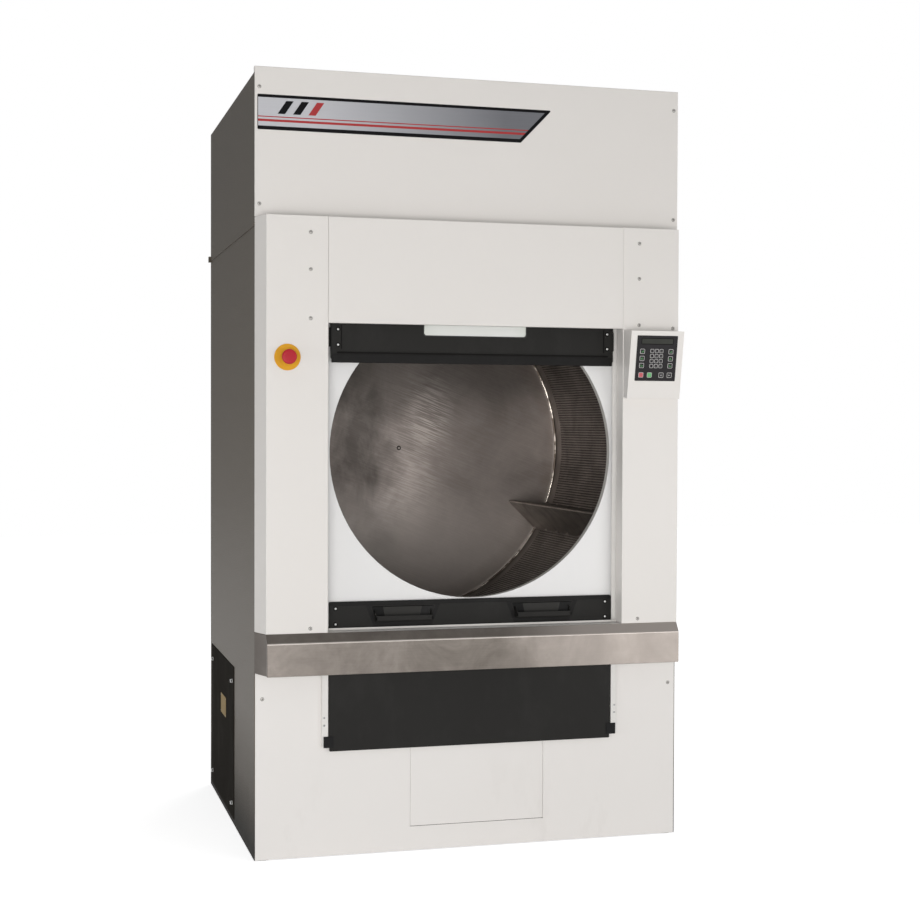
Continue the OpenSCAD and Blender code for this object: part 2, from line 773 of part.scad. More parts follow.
// Strips on spacers. The glides run behind the strips, and between the spacers
// the doors' arms pass there too. A web inside the column stiffens each strip.
module door_tracks() machine() color([0.78, 0.79, 0.82]) {
    z0 = lower_open + 15;
    z1 = housing_top - housing_t - 4;
    free_low = lower_arm_top - lower_arm_h - 6;
    free_high = upper_arm_low + upper_arm_h + 6;
    seat_x = track_in + groove_d;
    for (s = sides) difference() {
        union() {
            block([min(s * track_in, s * track_out), -track_t, z0],
                [max(s * track_in, s * track_out), -track_t + strip_w, z1]);
            block([min(s * (track_out - 3), s * track_out), -track_t - web_d, sill_top + 4],
                [max(s * (track_out - 3), s * track_out), -track_t + strip_w, z1]);
            for (z = [[z0, free_low], [free_high, z1]])
                block([min(s * seat_x, s * track_out), -track_t + strip_w - 0.01, z[0]],
                    [max(s * seat_x, s * track_out), 0, z[1]]);
        }
        for (z = track_screws) {
            bar_y(s * track_screw_x, z, -track_t - 1, 1, 2.1);
            bar_y(s * track_screw_x, z, -track_t - 1, -track_t + 2.2, 3.8);
        }
    }
}

window_x = -window_w / 2;
window_z = upper_open + window_rise;
pane_edge = 11;

// Folded tray with the window's cut-out
module upper_door() machine() color(black) difference() {
    lip_h = 14;
    rim = 12;
    union() {
        block([-upper_x, upper_front, upper_open + lip_h], [upper_x, upper_back, upper_top]);
        block([-upper_x + 4, upper_front, upper_open], [upper_x - 4, upper_back, upper_open + lip_h + 1]);
    }
    block([-upper_x + rim, upper_front + door_sheet, upper_open + rim],
        [upper_x - rim, upper_back + 1, upper_top - rim]);
    upright(upper_front - 1, door_t + 2) translate([window_x, window_z])
        linear_extrude(door_t + 2) round_rect(window_w, window_h, 8);
    block([-upper_x + 34, upper_front - 1, upper_open + 27],
        [upper_x - 34, upper_front + 0.8, upper_open + 28.5]);
}

module window_glass() machine() color([0.80, 0.86, 0.82, 0.35]) {
    block([window_x - pane_edge, upper_front + door_sheet, window_z - pane_edge],
        [-window_x + pane_edge, upper_front + door_sheet + glass_t, window_z + window_h + pane_edge]);
}

// Frame of rubber that holds the glass against the door's sheet
module window_gasket() machine() color(black) difference() {
    y0 = upper_front + door_sheet + glass_t;
    block([window_x - pane_edge, y0, window_z - pane_edge],
        [-window_x + pane_edge, upper_back, window_z + window_h + pane_edge]);
    block([window_x - 1, y0 - 1, window_z - 1], [-window_x + 1, upper_back + 1, window_z + window_h + 1]);
}

// End strips on the face, and arms whose jaws clamp the belts' outer runs
module upper_door_brackets() machine() color(black) {
    belt_gap = door_belt_t / 2 + fit;
    z0 = upper_arm_low;
    z1 = z0 + upper_arm_h;
    end_strip_w = 30;
    arm_lap = 10;
    for (s = sides) {
        block([min(s * (upper_x - end_strip_w), s * upper_x), upper_front - strip_t, end_strip_low],
            [max(s * (upper_x - end_strip_w), s * upper_x), upper_front, end_strip_low + end_strip_h]);
        for (z = [end_strip_low + 8, end_strip_low + end_strip_h - 10])
            bar_y(s * (upper_x - end_strip_w + 9), z, upper_front - strip_t - 2, upper_front - strip_t, 4);
        block([min(s * (upper_x - arm_lap), s * (track_in - 1)), upper_back, z0],
            [max(s * (upper_x - arm_lap), s * (track_in - 1)), arm_back, z1]);
        block([min(s * (upper_x - arm_lap), s * (upper_run + belt_gap + jaw_t)), arm_front, z0],
            [max(s * (upper_x - arm_lap), s * (upper_run + belt_gap + jaw_t)), arm_back, z1]);
        for (e = [-1, 1]) {
            x0 = upper_run + e * belt_gap;
            x1 = x0 + e * jaw_t;
            block([min(s * x0, s * x1), upper_belt_y, z0 + 6],
                [max(s * x0, s * x1), arm_front + 0.01, z1 - 6]);
        }
    }
}

// Plastic blocks behind the upper door, each with a tongue behind its track
module upper_door_glides() machine() color([0.12, 0.12, 0.12]) {
    edge = track_in - glide_gap;
    for (s = sides, z = [upper_open + upper_glide_z, upper_top - 12 - upper_glide_h]) {
        block([min(s * (upper_x - 18), s * edge), upper_back, z],
            [max(s * (upper_x - 18), s * edge), tongue_back, z + upper_glide_h]);
        block([min(s * (upper_x + fit), s * edge), upper_front + 4, z],
            [max(s * (upper_x + fit), s * edge), upper_back + 0.01, z + upper_glide_h]);
        block([min(s * (edge - 1), s * tongue_x), tongue_front, z],
            [max(s * (edge - 1), s * tongue_x), tongue_back, z + upper_glide_h]);
    }
}

// Folded tray with the two handle pockets
module lower_door() machine() color(black) difference() {
    rim = 12;
    corner = 6;
    lip_h = 12;
    union() {
        upright(lower_front, door_t) translate([-lower_x, lower_open + lip_h])
            linear_extrude(door_t) round_rect(2 * lower_x, lower_door_h - lip_h, corner);
        block([-lower_x + 3, lower_front, lower_open], [lower_x - 3, lower_back, lower_open + 2 * lip_h]);
    }
    block([-lower_x + rim, lower_front + door_sheet, lower_open + rim],
        [lower_x - rim, lower_back + 1, lower_top - rim]);
    for (s = sides) upright(lower_front - 1, door_sheet + 2) translate([s * handle_x, handle_z])
        linear_extrude(door_sheet + 2) handle_outline(0);
    for (s = sides) block([min(s * (lower_x - 20), s * (lower_x + 1)), arm_front - fit,
        lower_arm_top - lower_arm_h - fit],
        [max(s * (lower_x - 20), s * (lower_x + 1)), lower_back + 1, lower_arm_top + fit]);
}

// Outline of a handle: a trapezoid that is wider at its top
module handle_outline(grow) {
    w = handle_w / 2 - grow;
    polygon([[-w + handle_slant, grow], [w - handle_slant, grow], [w, handle_h - grow], [-w, handle_h - grow]]);
}

// Pressed cups with a grip ledge at the foot of each
module door_handles() machine() color(black) {
    cup_t = 1.5;
    cup_d = door_t - 2.5;
    ledge_t = 5;
    grip_w = handle_w / 2 - 12;
    grip_h = 18;
    grip_t = 4;
    cheek_w = 3;
    for (s = sides) translate([s * handle_x, 0, handle_z]) {
        upright(lower_front, cup_d) difference() {
            linear_extrude(cup_d) handle_outline(fit);
            translate([0, 0, cup_t]) linear_extrude(cup_d) handle_outline(fit + cup_t);
        }
        block([-grip_w, lower_front - grip_d, 1], [grip_w, lower_front, 1 + ledge_t]);
        block([-grip_w, lower_front - grip_d, 1], [grip_w, lower_front - grip_d + grip_t, 1 + grip_h]);
        for (e = sides) translate([e * (grip_w - cheek_w / 2) - cheek_w / 2, 0, 0])
            rotate([90, 0, 90]) linear_extrude(cheek_w)
                polygon([[lower_front, 1], [lower_front - grip_d, 1], [lower_front - grip_d, grip_h],
                    [lower_front, handle_h - 8]]);
    }
}

// Arms let into the door's back, with jaws that clamp the belts' inner runs
module lower_door_brackets() machine() color(black) {
    belt_gap = door_belt_t / 2 + fit;
    z1 = lower_arm_top;
    z0 = z1 - lower_arm_h;
    for (s = sides) {
        block([min(s * (lower_x - 19), s * (lower_run + belt_gap + jaw_t)), arm_front, z0],
            [max(s * (lower_x - 19), s * (lower_run + belt_gap + jaw_t)), arm_back, z1]);
        for (e = [-1, 1]) {
            x0 = lower_run + e * belt_gap;
            x1 = x0 + e * jaw_t;
            block([min(s * x0, s * x1), lower_belt_y, z0 + 6],
                [max(s * x0, s * x1), arm_front + 0.01, z1 - 6]);
        }
        for (z = [z0 + 8, z1 - 15]) bar_y(s * (lower_x - 20), z, lower_front - 2, lower_front, 4);
    }
}

// Plastic blocks on the lower door's edges, with a tongue and a front tab each
module lower_door_glides() machine() color([0.12, 0.12, 0.12]) {
    edge = track_in - glide_gap;
    for (s = sides, z = [lower_open + lower_glide_z, lower_open + lower_glide_z + lower_glide_step]) {
        block([min(s * (lower_x - 14), s * (bay_x + 2)), lower_front - tab_t, z],
            [max(s * (lower_x - 14), s * (bay_x + 2)), lower_front, z + lower_glide_h]);
        block([min(s * (lower_x + fit), s * edge), lower_front - 0.01, z],
            [max(s * (lower_x + fit), s * edge), tongue_back, z + lower_glide_h]);
        block([min(s * (lower_x + fit), s * tongue_x), tongue_front, z],
            [max(s * (lower_x + fit), s * tongue_x), tongue_back, z + lower_glide_h]);
    }
}

// Closed belts that tie each door to the pulleys
module door_belts() machine() color([0.1, 0.1, 0.1]) {
    for (s = sides) {
        x = s * pulley_x;
        belt([x, pulley_low], big_pulley_r - door_belt_t / 2, [x, pulley_high],
            big_pulley_r - door_belt_t / 2, lower_belt_y, door_belt_w, door_belt_t);
        belt([x, pulley_low], small_pulley_r - door_belt_t / 2, [x, pulley_high],
            small_pulley_r - door_belt_t / 2, upper_belt_y, door_belt_w, door_belt_t);
    }
}

// One stepped pulley: a large seat for the lower door, a small one for the upper
module stepped_pulley(s, z) {
    x = s * pulley_x;
    y_back = lower_belt_y + door_belt_w + 0.4;
    y_mid = lower_belt_y - 0.4;
    y_front = upper_belt_y - 0.4;
    difference() {
        union() {
            bar_y(x, z, y_mid, y_back, big_pulley_r - door_belt_t / 2 - fit);
            bar_y(x, z, y_back - 0.01, y_back + 1.5, flange_r);
            bar_y(x, z, y_mid - 1.5, y_mid + 0.01, flange_r);
            bar_y(x, z, y_front, y_mid, small_pulley_r - door_belt_t / 2 - fit);
            bar_y(x, z, y_front - 1.5, y_front, small_pulley_r + door_belt_t);
        }
        bar_y(x, z, y_front - 3, y_back + 3, stub_r + run_fit);
    }
}

module door_pulley_upper_left() machine() color(steel) stepped_pulley(-1, pulley_high);
module door_pulley_upper_right() machine() color(steel) stepped_pulley(1, pulley_high);
module door_pulley_lower_left() machine() color(steel) stepped_pulley(-1, pulley_low);
module door_pulley_lower_right() machine() color(steel) stepped_pulley(1, pulley_low);

// Fixed shafts on the front plate, with a shoulder and a clip each
module door_stub_shafts() machine() color(steel) {
    y_back = lower_belt_y + door_belt_w + 0.4 + 1.5;
    y_front = upper_belt_y - 0.4 - 1.5;
    for (s = sides, z = [pulley_low, pulley_high]) {
        x = s * pulley_x;
        bar_y(x, z, y_front - 5, 0, stub_r);
        bar_y(x, z, y_back + fit, -0.01, stub_r + 5);
        bar_y(x, z, -4, 0, stub_r + 13);
        bar_y(x, z, y_front - 2.5, y_front - fit, stub_r + 4);
    }
}

// Perforated shell, drawn plain
module drum_shell() machine() color(dark_steel) {
    ring_y(0, axis_z, drum_front + ring_t, drum_back, drum_r, drum_r + drum_sheet);
}

// Back plate with its hub, ribs and centre bolt
module drum_back() machine() color(dark_steel) difference() {
    y1 = drum_back + back_t;
    union() {
        bar_y(0, axis_z, drum_back, y1, drum_r + drum_sheet);
        bar_y(0, axis_z, y1 - 0.01, y1 + hub_t, 180);
        bar_y(0, axis_z, y1, y1 + hub_t + boss_l, shaft_r + 30);
        for (i = [0:7]) translate([0, 0, axis_z]) rotate([0, 45 * i + 22.5, 0])
            block([170, y1 - 0.01, -4], [drum_r - 20, y1 + hub_t, 4]);
        bar_y(0, axis_z, drum_back - 5, drum_back, 12);
    }
    bar_y(0, axis_z, y1, y1 + hub_t + boss_l + 1, shaft_r + run_fit);
}

// Front annulus with the mouth's lip
module drum_front_ring() machine() color(dark_steel) {
    ring_y(0, axis_z, drum_front, drum_front + ring_t, mouth_r, drum_r + drum_sheet);
    ring_y(0, axis_z, rim_d - 8, drum_front + 0.01, mouth_r, mouth_r + ring_t);
}

// Hollow folded lifters welded inside the shell
module drum_lifters() machine() color(dark_steel) {
    base = sqrt(drum_r * drum_r - lifter_w * lifter_w / 4) - fit;
    tip = drum_r - lifter_h;
    wall = 2.5;
    slope = atan2(base - tip, lifter_w / 2);
    y0 = drum_front + ring_t + fit;
    y1 = drum_back - fit;
    for (i = [0:lifter_n - 1]) upright(y0, y1 - y0) translate([0, axis_z])
        rotate(lifter_turn + i * 360 / lifter_n) linear_extrude(y1 - y0) difference() {
            polygon([[base, -lifter_w / 2], [base, lifter_w / 2], [tip + 4, 2.5], [tip + 4, -2.5]]);
            polygon([[base - wall, -lifter_w / 2 + 2.2 * wall], [base - wall, lifter_w / 2 - 2.2 * wall],
                [tip + 4 + 3 * wall, 1.2], [tip + 4 + 3 * wall, -1.2]]);
        }
}

module drum_shaft() machine() color(steel) {
    bar_y(0, axis_z, drum_back + back_t, shaft_end, shaft_r);
}

module drum_pulley() machine() color(dark_steel) difference() {
    union() {
        sheave(0, axis_z, drum_plane, drum_sheave_w, drum_pulley_r, drive_belt_t + 3,
            shaft_r + run_fit, shaft_r + 30);
        ring_y(0, axis_z, drum_plane - 4, drum_plane + drum_sheave_w + 8, shaft_r + run_fit, shaft_r + 22);
    }
    for (i = [0:5]) translate([0, 0, axis_z]) rotate([0, 60 * i, 0])
        bar_y(drum_pulley_r * 0.56, 0, drum_plane - 1, drum_plane + drum_sheave_w + 1, lighten_r);
}

lighten_r = 52;                       // radius of the holes in the drum pulley's web
channel_x = 340;

// Two uprights, two cross members and the boxed bearing carrier
module bearing_frame() machine() color(dark_steel) difference() {
    y0 = frame_front;
    union() {
        for (s = sides) block([s * channel_x - channel_w / 2, y0, pan_z + sheet],
            [s * channel_x + channel_w / 2, in_back, frame_top - frame_leg]);
        for (z = [axis_z - box_half - channel_w, axis_z + box_half])
            block([-channel_x, y0, z], [channel_x, in_back, z + channel_w]);
        block([-box_half, y0, axis_z - box_half], [box_half, box_back, axis_z + box_half]);
    }
    block([-box_half + box_plate, y0 + box_plate, axis_z - box_half + box_plate],
        [box_half - box_plate, box_back - box_plate, axis_z + box_half - box_plate]);
    block([-box_half - 1, y0 + box_plate + 14, axis_z - 70],
        [box_half + 1, in_back - 14, axis_z + 70]);
    bar_y(0, axis_z, y0 - 1, box_back + 1, shaft_r + 8);
    for (s = sides) block([s * channel_x - channel_w / 2 + frame_t, y0 + frame_t, pan_z],
        [s * channel_x + channel_w / 2 - frame_t, in_back + 1, frame_top]);
    for (z = [axis_z - box_half - channel_w, axis_z + box_half])
        block([-channel_x + channel_w / 2 + frame_t, y0 + frame_t, z + frame_t],
            [channel_x - channel_w / 2 - frame_t, in_back + 1, z + channel_w - frame_t]);
}

// A flanged bearing unit about a Y axis
module bearing_unit(x, z, y, l, bore, body_r, flange) {
    difference() {
        union() {
            block([x - flange, y, z - flange], [x + flange, y + 12, z + flange]);
            bar_y(x, z, y, y + l, body_r);
        }
        bar_y(x, z, y - 1, y + l + 1, bore + run_fit);
    }
}

module drive_bearings() machine() color([0.25, 0.33, 0.42]) {
    bearing_unit(0, axis_z, frame_front + box_plate, bearing_l, shaft_r, shaft_r + 25, 80);
    bearing_unit(0, axis_z, box_back, bearing_l, shaft_r, shaft_r + 25, 80);
    bearing_unit(jack_x, jack_z, cab_d, box_back - cab_d, jack_r, jack_r + 30, 60);
}

module drive_belts() machine() color([0.1, 0.1, 0.1]) {
    belt([0, axis_z], drum_pulley_r + fit, [jack_x, jack_z], jack_small_r + fit,
        drum_plane + cheek_t + 0.5, drum_belt_w, drive_belt_t);
    belt([jack_x, jack_z], jack_large_r + fit, [motor_x, motor_z], motor_pulley_r + fit,
        motor_plane + cheek_t + 0.5, motor_belt_w, drive_belt_t);
}

module jackshaft() machine() color(steel) {
    bar_y(jack_x, jack_z, cab_d + 2, drum_plane + drum_sheave_w + 6, jack_r);
    sheave(jack_x, jack_z, motor_plane, motor_sheave_w, jack_large_r, drive_belt_t + 3,
        jack_r - 0.01, jack_r + 20);
    sheave(jack_x, jack_z, drum_plane, drum_sheave_w, jack_small_r, drive_belt_t + 3,
        jack_r - 0.01, jack_r + 20);
}

module motor_pulley() machine() color(steel) {
    bar_y(motor_x, motor_z, in_back - 6 + fit, motor_plane + motor_sheave_w + 4, motor_shaft_r);
    sheave(motor_x, motor_z, motor_plane, motor_sheave_w, motor_pulley_r, drive_belt_t + 3,
        motor_shaft_r - 0.01, motor_shaft_r + 8);
}

// Flange-mounted motor inside the rear panel
module drive_motor() machine() color([0.30, 0.34, 0.38]) difference() {
    y1 = in_back;
    union() {
        bar_y(motor_x, motor_z, y1 - motor_l, y1 - 8, motor_r);
        bar_y(motor_x, motor_z, y1 - 10, y1, motor_r + 12);
        bar_y(motor_x, motor_z, y1 - motor_l - 24, y1 - motor_l + 1, motor_r - 8);
        block([motor_x - 45, y1 - motor_l + 60, motor_z + motor_r - 12],
            [motor_x + 45, y1 - 60, motor_z + motor_r + 34]);
    }
    bar_y(motor_x, motor_z, y1 - 6, y1 + 1, motor_shaft_r + 4);
}

scroll_x0 = blower_x - scroll_w / 2;
scroll_x1 = blower_x + scroll_w / 2;

// Outline of the scroll in Y and Z: a round case with its outlet at the foot
module scroll_outline(grow, back) {
    translate([blower_y, blower_z]) circle(scroll_r + grow);
    translate([blower_y, outlet_z - grow]) square([back - blower_y, outlet_h + 2 * grow]);
}

module blower_housing() machine() color(steel) {
    difference() {
        translate([scroll_x0, 0, 0]) rotate([90, 0, 90]) linear_extrude(scroll_w)
            scroll_outline(scroll_t, in_back);
        translate([scroll_x0 + scroll_t, 0, 0]) rotate([90, 0, 90])
            linear_extrude(scroll_w - 2 * scroll_t) scroll_outline(0, in_back + 1);
        bar_x(scroll_x0 - 1, scroll_x0 + scroll_t + 1, blower_y, blower_z, wheel_r - 30);
        bar_x(scroll_x1 - scroll_t - 1, scroll_x1 + 1, blower_y, blower_z, 22);
    }
    for (x = [scroll_x0 + 20, scroll_x1 - 60], y = [blower_y - 60, blower_y + 180])
        block([x, y, pan_z + sheet], [x + 40, y + 40, outlet_z - scroll_t + (y < blower_y ? 8 : 1)]);
}

blower_shaft_r = 14;

// Squirrel-cage wheel on its shaft
module blower_wheel() machine() color(steel) {
    x0 = blower_x - wheel_w / 2;
    x1 = blower_x + wheel_w / 2;
    blades = 16;
    hub_l = 36;
    difference() {
        bar_x(x1 - 5, x1, blower_y, blower_z, wheel_r);
        bar_x(x1 - 6, x1 + 1, blower_y, blower_z, blower_shaft_r - 1);
    }
    difference() {
        bar_x(x0, x0 + 5, blower_y, blower_z, wheel_r);
        bar_x(x0 - 1, x0 + 6, blower_y, blower_z, wheel_r - 40);
    }
    for (i = [0:blades - 1]) translate([0, blower_y, blower_z]) rotate([i * 360 / blades, 0, 0])
        block([x0 + 4, -1.5, wheel_r - 38], [x1 - 4, 1.5, wheel_r - 2]);
    bar_x(x1 - hub_l - 24, scroll_x1 + 20, blower_y, blower_z, blower_shaft_r);
    bar_x(x1 - hub_l - 4, x1 - 4, blower_y, blower_z, blower_shaft_r + 16);
}

motor_foot = 70;                     // half the width of the motor's foot
motor_foot_in = 30;                  // from the motor's ends to its foot

module blower_motor() machine() color([0.30, 0.34, 0.38]) {
    x0 = scroll_x1 + 20 + fit;
    cowl_l = 26;
    bar_x(x0, x0 + blower_motor_l, blower_y, blower_z, blower_motor_r);
    bar_x(x0 + blower_motor_l - 1, x0 + blower_motor_l + cowl_l, blower_y, blower_z, blower_motor_r - 10);
    block([x0 + motor_foot_in, blower_y - motor_foot, pan_z + sheet],
        [x0 + blower_motor_l - motor_foot_in, blower_y + motor_foot, blower_z - blower_motor_r + 20]);
}

// Round collar for the exhaust duct
module exhaust_collar() machine() color(steel) {
    ring_y(blower_x, exhaust_z, in_back + fit, cab_d + exhaust_l, exhaust_r - 2, exhaust_r);
    ring_y(blower_x, exhaust_z, cab_d, cab_d + 3, exhaust_r - 0.01, exhaust_r + 25);
}

// Frame with a perforated plate, lying on the rails under the drum
module lint_screen() machine() color(steel) {
    x = post_x - 4;
    y0 = sheet + fit + frame_leg + 4;
    z0 = screen_top - screen_h;
    difference() {
        block([-x, y0, z0], [x, screen_back, screen_top]);
        block([-x + 25, y0 + 25, z0 - 1], [x - 25, screen_back - 25, screen_top + 1]);
    }
    difference() {
        block([-x + 24, y0 + 24, z0 + 8], [x - 24, screen_back - 24, z0 + 10]);
        for (i = [0:17], j = [0:7]) {
            w = (2 * x - 80) / 18;
            d = (screen_back - y0 - 80) / 8;
            block([-x + 46 + i * w, y0 + 46 + j * d, z0 + 7],
                [-x + 34 + (i + 1) * w, y0 + 34 + (j + 1) * d, z0 + 11]);
        }
    }
}

pipe_x = coil_w / 2 - 60;
pipe_zs = [seam_z + sheet + 60, seam_z + sheet + coil_h - 60];
pipe_l = 40;                         // free length of a pipe behind the cabinet
rosette_t = 3;                       // collars round the pipes on the cabinet's back

// Finned coil in its casing, with its two pipes from sockets there out to the back
module steam_coil() machine() color([0.60, 0.50, 0.42]) {
    z0 = seam_z + sheet;
    y1 = coil_y + coil_d;
    fins = 9;
    header = 50;
    in = coil_w / 2 - coil_t;
    fin_step = 2 * (in - header) / (fins + 1);
    difference() {
        block([-coil_w / 2, coil_y, z0], [coil_w / 2, y1, z0 + coil_h]);
        block([-in, coil_y + coil_t, z0 - 1], [in, y1 - coil_t, z0 + coil_h + 1]);
    }
    for (i = [1:fins]) translate([-in + header + i * fin_step, 0, 0])
        block([-0.5, coil_y + coil_t - 0.5, z0 + 40], [0.5, y1 - coil_t + 0.5, z0 + coil_h - 40]);
    for (z = [z0 + 80, z0 + coil_h - 80], i = [0:3])
        bar_x(-in - 0.5, in + 0.5, coil_y + 60 + i * (coil_d - 120) / 3, z, 9);
    for (z = pipe_zs) {
        bar_y(pipe_x, z, y1 + fit, y1 + 12, pipe_r + 7);
        bar_y(pipe_x, z, y1 + 11, cab_d + pipe_l, pipe_r);
        bar_y(pipe_x, z, cab_d, cab_d + rosette_t, pipe_r + 12);
    }
}

gland_x = 500;
gland_z = seam_z - 196;
gland_r = 16;
gland_bore = 9;

// Gland for the supply cable
module power_inlet() machine() color([0.2, 0.2, 0.2]) difference() {
    union() {
        bar_y(gland_x, gland_z, in_back - 12, cab_d + 30, gland_r);
        bar_y(gland_x, gland_z, cab_d, cab_d + 8, gland_r + 7);
        bar_y(gland_x, gland_z, in_back - 6, in_back, gland_r + 6);
    }
    bar_y(gland_x, gland_z, in_back - 13, cab_d + 31, gland_bore);
}

// Side outline of the control box in Y and Z, shrunk by grow
module box_outline(grow, back) {
    polygon([[-housing_d + back, box_z - grow],
        [-housing_d - box_top_d + grow, box_z - box_face_z - grow],
        [-housing_d - box_low_d + grow, box_z - box_h - box_foot_z + grow],
        [-housing_d + back, box_z - box_h + grow]]);
}

module control_box() machine() color(white) difference() {
    translate([box_in, 0, 0]) rotate([90, 0, 90]) linear_extrude(box_w) box_outline(0, 0);
    translate([box_in + box_t, 0, 0]) rotate([90, 0, 90]) linear_extrude(box_w - 2 * box_t)
        box_outline(box_t, 1);
}

// Membrane keypad with raised keys, lying on the box's leaning face
module keypad() machine() color([0.16, 0.15, 0.16])
    translate([box_in + box_w / 2 - keypad_w / 2, -housing_d - box_top_d, box_z - box_face_z])
        rotate([box_lean, 0, 0]) translate([0, -keypad_t, -keypad_drop - keypad_h]) {
            side_key = 16;
            digit_key = 13.5;
            cube([keypad_w, keypad_t, keypad_h]);
            for (z = [92, 70, 48], x = [19, 113]) key_top(x, z, side_key);
            for (x = [51, 66, 81], i = [0:3]) key_top(x, 93.5 - 15.6 * i, digit_key);
            for (x = [19, 47, 86, 113]) key_top(x, 18.6, side_key);
        }

// One raised key, centred at x and z on the keypad
module key_top(x, z, w) {
    translate([x - w / 2, -0.7, z - w / 2]) cube([w, 0.71, w]);
}

// Yellow plate, collar and contact block of the emergency stop
module stop_base() machine() color([0.87, 0.66, 0.18]) difference() {
    y = -housing_d;
    union() {
        bar_y(stop_x, stop_z, y - 2.5, y, stop_plate_r);
        bar_y(stop_x, stop_z, y - stop_collar, y - 2, 15);
        bar_y(stop_x, stop_z, y - 3, y + housing_t + 10, stop_barrel_r);
        block([stop_x - 15, y + housing_t + fit, stop_z - 20], [stop_x + 15, y + housing_t + 22, stop_z + 20]);
    }
    bar_y(stop_x, stop_z, y - stop_collar - 1, y + housing_t + 12, stop_stem_r + fit);
}

// Stem that the button pushes in
module stop_plunger() machine() color(steel) {
    y = -housing_d;
    bar_y(stop_x, stop_z, y - stop_reach + stop_seat, y + housing_t + 4, stop_stem_r);
}

// Red mushroom that also twists to let go
module stop_button() machine() color([0.75, 0.18, 0.24]) difference() {
    y = -housing_d;
    union() {
        bar_y(stop_x, stop_z, y - stop_reach + stop_seat, y - stop_collar - stop_travel - fit, 11);
        upright(y - stop_reach, 10) translate([stop_x, stop_z]) rotate_extrude()
            polygon([[0, 10], [stop_button_r - 8, 10], [stop_button_r - 2.5, 8],
                [stop_button_r, 5], [stop_button_r, 2], [stop_button_r - 3, 0], [0, 0]]);
    }
    bar_y(stop_x, stop_z, y - stop_reach + stop_seat, y, stop_stem_r + run_fit);
}

base_frame();
levelling_feet();
left_side_panel();
right_side_panel();
rear_panel();
lower_front_panel();
lint_cover();
front_plate();
opening_rim();
drum_seal();
left_column_cover();
right_column_cover();
upper_front_panel();
sill();
top_front_panel();
trim_band();
upper_housing();
side_access_panel();
panel_latches();
panel_screws();
door_tracks();
upper_door();
window_glass();
window_gasket();
upper_door_brackets();
upper_door_glides();
lower_door();
door_handles();
lower_door_brackets();
lower_door_glides();
door_belts();
door_stub_shafts();
door_pulley_upper_left();
door_pulley_upper_right();
door_pulley_lower_left();
door_pulley_lower_right();
drum_shell();
drum_back();
drum_front_ring();
drum_lifters();
drum_shaft();
drum_pulley();
bearing_frame();
drive_bearings();
drive_belts();
jackshaft();
motor_pulley();
drive_motor();
blower_housing();
blower_wheel();
blower_motor();
exhaust_collar();
lint_screen();
steam_coil();
power_inlet();
control_box();
keypad();
stop_base();
stop_plunger();
stop_button();
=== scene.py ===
import math
import bpy
import bmesh
from mathutils import Vector, Matrix, noise
from mathutils.geometry import tessellate_polygon


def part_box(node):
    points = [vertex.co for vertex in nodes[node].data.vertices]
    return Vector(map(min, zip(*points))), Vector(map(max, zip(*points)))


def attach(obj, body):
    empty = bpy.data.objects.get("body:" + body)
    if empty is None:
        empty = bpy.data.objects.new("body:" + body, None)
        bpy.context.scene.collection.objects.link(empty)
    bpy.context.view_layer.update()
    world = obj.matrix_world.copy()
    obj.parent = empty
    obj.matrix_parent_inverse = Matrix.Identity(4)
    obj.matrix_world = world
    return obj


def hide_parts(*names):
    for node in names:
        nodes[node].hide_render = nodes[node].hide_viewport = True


# Industrial tumble dryer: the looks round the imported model, all in metres.
# The makers below take millimetres, with depths counted from the front panels' plane.

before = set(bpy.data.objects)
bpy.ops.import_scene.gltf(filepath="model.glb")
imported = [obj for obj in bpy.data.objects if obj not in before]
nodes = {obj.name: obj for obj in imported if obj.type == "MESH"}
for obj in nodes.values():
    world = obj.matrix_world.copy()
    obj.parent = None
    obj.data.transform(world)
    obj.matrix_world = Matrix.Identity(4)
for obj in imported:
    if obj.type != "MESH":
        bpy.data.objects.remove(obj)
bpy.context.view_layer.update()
scene = bpy.context.scene
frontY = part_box("front_plate")[0].y
sides = (-1, 1)
axisZ = 1219  # height of the drum's axis


def at(x, y, z):
    return Vector((x / 1000, y / 1000 + frontY, z / 1000))


def srgb(*shown):  # screen values of 0 to 255 as the linear colour that Blender takes
    parts = [v / 255 for v in shown]
    return (*(v / 12.92 if v <= 0.04045 else ((v + 0.055) / 1.055) ** 2.4 for v in parts), 1.0)


# Camera, floor and light. The camera was solved from the cabinet's edges in the photograph.
view = {"place": (-1.3659, -5.3379, 1.2978), "yaw": 15.498, "pitch": -1.183, "roll": 0.188, "lens": 63.30}


def makeCamera():
    yaw, pitch, roll = (math.radians(view[k]) for k in ("yaw", "pitch", "roll"))
    ahead = Vector((math.sin(yaw) * math.cos(pitch), math.cos(yaw) * math.cos(pitch), math.sin(pitch)))
    side = Vector((math.cos(yaw), -math.sin(yaw), 0))
    over = side.cross(ahead)
    right = math.cos(roll) * side + math.sin(roll) * over
    up = math.cos(roll) * over - math.sin(roll) * side
    data = bpy.data.cameras.new("camera")
    data.lens = view["lens"]
    data.sensor_width = 36
    data.clip_end = 60
    camera = bpy.data.objects.new("camera", data)
    scene.collection.objects.link(camera)
    turn = Matrix((right, up, -ahead)).transposed().to_4x4()
    camera.matrix_world = Matrix.Translation(view["place"]) @ turn
    scene.camera = camera


makeCamera()
scene.view_settings.view_transform = "Standard"


def operators(operation):  # an operator on signals, and its reflected form
    return (lambda a, b: a.join(operation, a, b)), (lambda a, b: a.join(operation, b, a))


